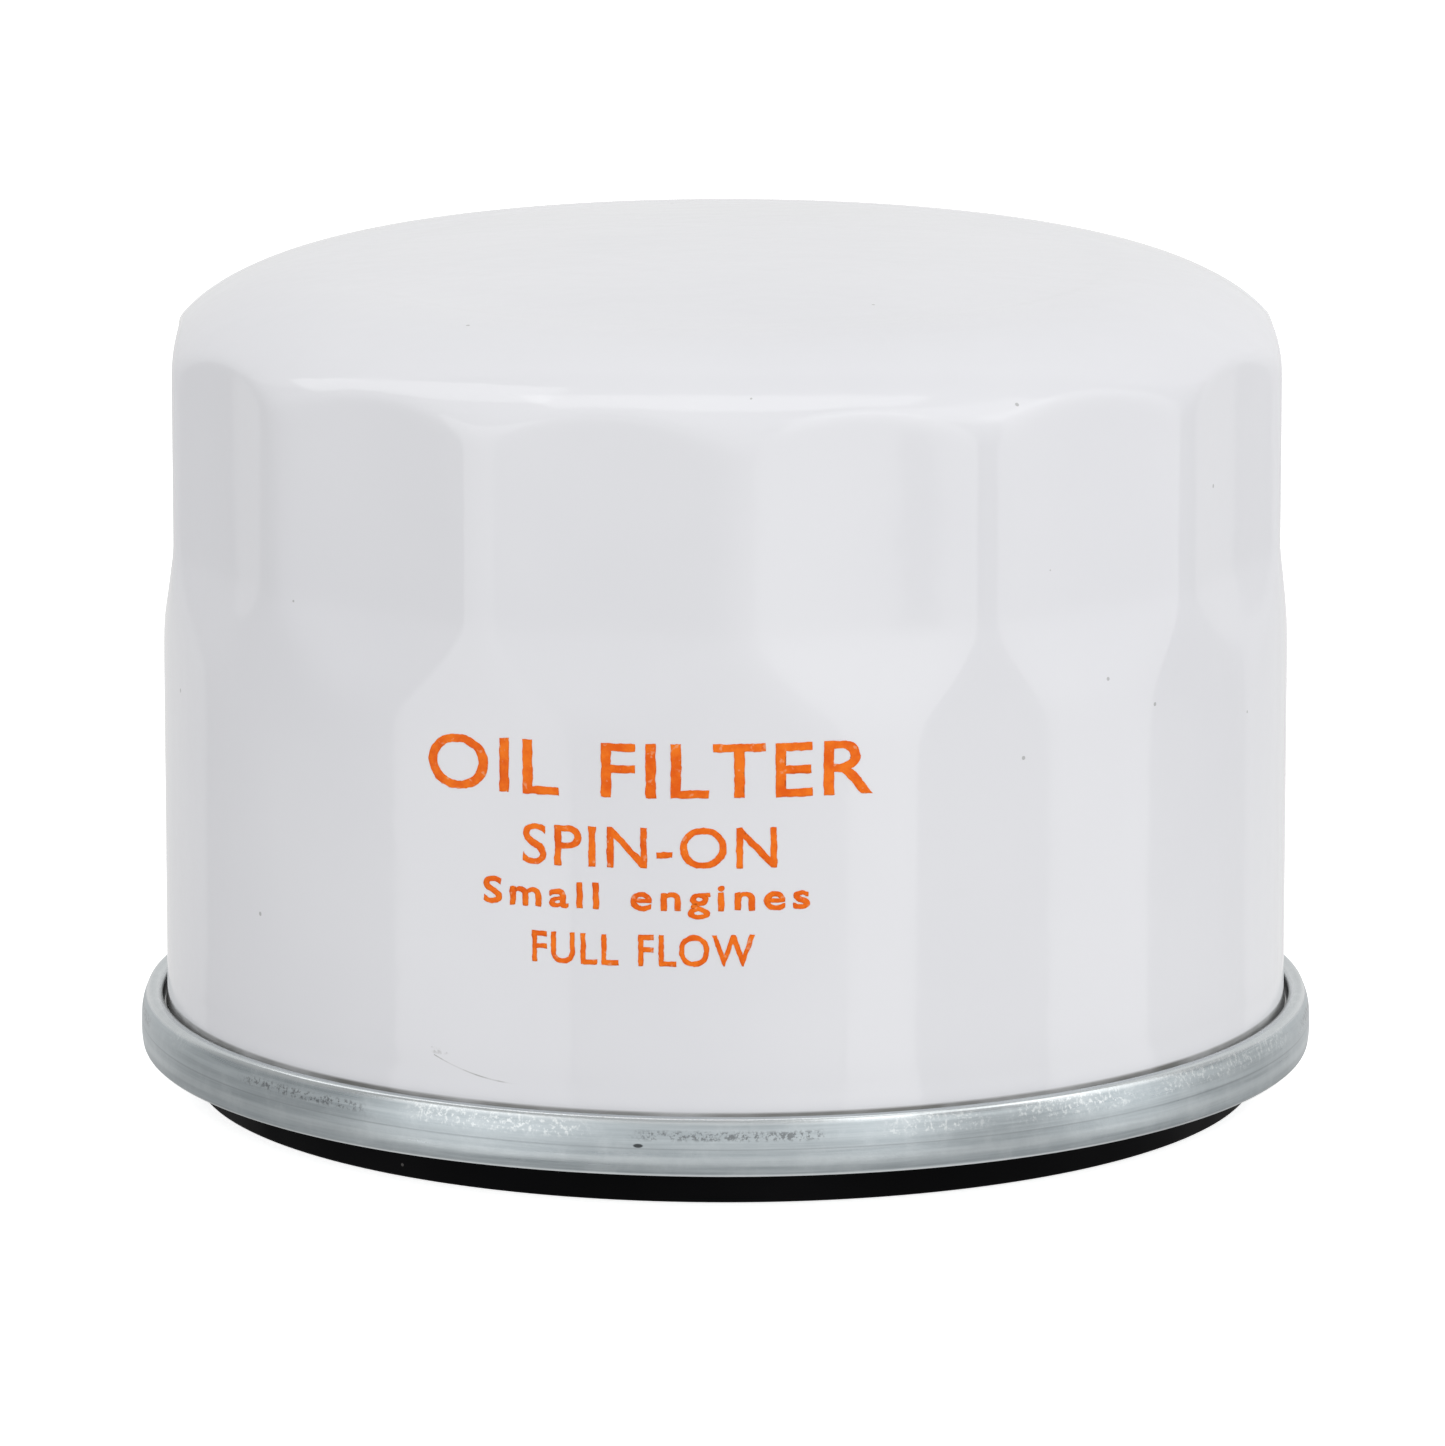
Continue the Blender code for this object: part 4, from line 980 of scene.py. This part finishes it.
def softbox(name, azimuth, rise, distance, width, height, radiance):
    """A rectangular area light that faces the filter. Azimuth runs from the front towards +X."""
    middle = Vector((0.0, 0.0, FILTER_HEIGHT / 2))
    side, up = radians(azimuth), radians(rise)
    outward = Vector((sin(side) * cos(up), -cos(side) * cos(up), sin(up)))
    data = bpy.data.lights.new(name, "AREA")
    data.shape = "RECTANGLE"
    data.size = width
    data.size_y = height
    data.energy = radiance * pi * width * height
    light = bpy.data.objects.new(name, data)
    light.location = middle + outward * distance
    light.rotation_mode = "QUATERNION"
    light.rotation_quaternion = outward.to_track_quat("Z", "Y")
    light.visible_camera = False
    bpy.context.scene.collection.objects.link(light)
    return light


def make_world():
    """An even studio, pale above and a little darker below. The camera sees plain white."""
    world = bpy.data.worlds.new("studio")
    bpy.context.scene.world = world
    world.use_nodes = True
    tree = world.node_tree
    tree.nodes.clear()
    place = tree.nodes.new("ShaderNodeTexCoord")
    split = tree.nodes.new("ShaderNodeSeparateXYZ")
    tree.links.new(place.outputs["Generated"], split.inputs[0])
    ramp = tree.nodes.new("ShaderNodeMapRange")
    ramp.interpolation_type = "SMOOTHSTEP"
    ramp.inputs["From Min"].default_value, ramp.inputs["From Max"].default_value = WORLD_RAMP
    ramp.inputs["To Min"].default_value = WORLD_BELOW
    ramp.inputs["To Max"].default_value = WORLD_ABOVE
    tree.links.new(split.outputs["Z"], ramp.inputs["Value"])
    lean = tree.nodes.new("ShaderNodeMath")
    lean.operation = "MULTIPLY_ADD"
    lean.inputs[1].default_value = WORLD_LEAN
    lean.inputs[2].default_value = 1.0
    tree.links.new(split.outputs["X"], lean.inputs[0])
    level = tree.nodes.new("ShaderNodeMath")
    level.operation = "MULTIPLY"
    tree.links.new(ramp.outputs[0], level.inputs[0])
    tree.links.new(lean.outputs[0], level.inputs[1])
    lit = tree.nodes.new("ShaderNodeBackground")
    tree.links.new(level.outputs[0], lit.inputs["Strength"])
    lit.inputs["Color"].default_value = (1.0, 1.0, 1.0, 1.0)
    seen = tree.nodes.new("ShaderNodeBackground")
    seen.inputs["Color"].default_value = (1.0, 1.0, 1.0, 1.0)
    seen.inputs["Strength"].default_value = 1.0
    ray = tree.nodes.new("ShaderNodeLightPath")
    choose = tree.nodes.new("ShaderNodeMixShader")
    out = tree.nodes.new("ShaderNodeOutputWorld")
    tree.links.new(ray.outputs["Is Camera Ray"], choose.inputs["Fac"])
    tree.links.new(lit.outputs[0], choose.inputs[1])
    tree.links.new(seen.outputs[0], choose.inputs[2])
    tree.links.new(choose.outputs[0], out.inputs["Surface"])


def make_floor():
    """A pale floor, clear from below so that the sealing face can be looked at."""
    half = 3.0
    under_gasket = 0.02 * MM
    corners = [(-half, -half), (half, -half), (half, half), (-half, half)]
    mesh = bpy.data.meshes.new("floor")
    mesh.from_pydata([(x, y, -under_gasket) for x, y in corners], [], [(0, 1, 2, 3)])
    floor = bpy.data.objects.new("floor", mesh)
    bpy.context.scene.collection.objects.link(floor)
    material = bpy.data.materials.new("pale_floor")
    material.use_nodes = True
    tree = material.node_tree
    shader = tree.nodes["Principled BSDF"]
    shader.inputs["Base Color"].default_value = (0.9, 0.9, 0.9, 1.0)
    shader.inputs["Roughness"].default_value = 0.9
    shader.inputs["Emission Color"].default_value = (1.0, 1.0, 1.0, 1.0)
    shader.inputs["Emission Strength"].default_value = 0.75
    side = tree.nodes.new("ShaderNodeNewGeometry")
    clear = tree.nodes.new("ShaderNodeBsdfTransparent")
    choose = tree.nodes.new("ShaderNodeMixShader")
    tree.links.new(side.outputs["Backfacing"], choose.inputs["Fac"])
    tree.links.new(shader.outputs[0], choose.inputs[1])
    tree.links.new(clear.outputs[0], choose.inputs[2])
    tree.links.new(choose.outputs[0], tree.nodes["Material Output"].inputs["Surface"])
    mesh.materials.append(material)
    floor.visible_glossy = False
    floor.visible_diffuse = False
    floor.visible_shadow = False


def make_camera():
    data = bpy.data.cameras.new("camera")
    data.lens = CAMERA_LENS
    data.sensor_width = 36.0
    data.clip_start = 0.01
    data.clip_end = 20.0
    camera = bpy.data.objects.new("camera", data)
    back = Vector((0.0, -cos(CAMERA_RISE), sin(CAMERA_RISE)))
    camera.location = CAMERA_TARGET + back * CAMERA_DISTANCE
    camera.rotation_euler = (pi / 2 - CAMERA_RISE, 0.0, 0.0)
    bpy.context.scene.collection.objects.link(camera)
    bpy.context.scene.camera = camera


# ---------------------------------------------------------------- assembly


def dress(node, material):
    """Gives a CAD node that stays a better material."""
    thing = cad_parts[node]
    thing.data.materials.clear()
    thing.data.materials.append(material)


def place_piece(piece, body, node, material):
    """Stands a detailed piece in for a CAD node, on that node's body."""
    piece.data.materials.clear()
    piece.data.materials.append(material)
    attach(piece, body)
    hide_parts(node)
    return piece


def main():
    bpy.context.scene.view_settings.view_transform = "Standard"
    make_camera()
    make_world()
    make_floor()
    for box in SOFTBOXES:
        softbox(*box)

    white = paint()
    plate = zinc()
    steel = sheet_metal("bare_steel", (0.36, 0.36, 0.37), (0.47, 0.47, 0.48), 0.36, (500.0, 90.0, 90.0))
    tin = sheet_metal("tinplate", (0.55, 0.55, 0.54), (0.7, 0.7, 0.69), 0.3, (60.0, 60.0, 900.0))
    spring_scale = (300.0, 300.0, 300.0)
    spring = sheet_metal("spring_steel", (0.2, 0.21, 0.23), (0.34, 0.35, 0.37), 0.3, spring_scale)
    gasket_rubber = rubber("black_rubber", (0.002, 0.002, 0.0023), 1.6, 0.03)
    valve_rubber = rubber("valve_rubber", (0.02, 0.02, 0.022), 1.8, 0.3)
    paper = filter_paper()
    glue = plastisol("adhesive", (0.07, 0.075, 0.085), (0.14, 0.15, 0.16))
    compound = plastisol("seam_rubber", (0.2, 0.21, 0.19), (0.3, 0.31, 0.29))

    place_piece(make_can(), "housing", "can", white)
    place_piece(make_lid(), "housing", "seaming_lid", plate)
    place_piece(make_gasket(), "housing", "sealing_gasket", gasket_rubber)
    place_piece(make_base_plate(), "housing", "base_plate", steel)
    place_piece(make_valve(), "housing", "anti_drainback_valve", valve_rubber)
    leaf = place_piece(make_leaf_spring(), "housing", "element_spring", spring)
    coil = place_piece(make_coil(), "element", "bypass_spring", spring)

    dress("seam_compound", compound)
    for node in ("lower_potting", "upper_potting"):
        dress(node, glue)
    for node in ("lower_end_cap", "upper_end_cap", "centre_tube", "paper_seam_clip"):
        dress(node, tin)
    for node in ("bypass_seat", "bypass_cage", "bypass_poppet"):
        dress(node, tin)
    dress("pleated_paper", paper)
    dress("bypass_seal", gasket_rubber)

    orange = ink()
    noise.seed_set(PRINT_SEED)
    for name, words, width, height, middle, base, spacing, weight, spread in PRINT_LINES:
        line = print_line(
            name, words, width * MM, height * MM, radians(middle), base * MM, spacing, weight, spread * MM
        )
        line.data.materials.append(orange)
        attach(line, "housing")

    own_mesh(leaf)
    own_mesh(coil)


main()
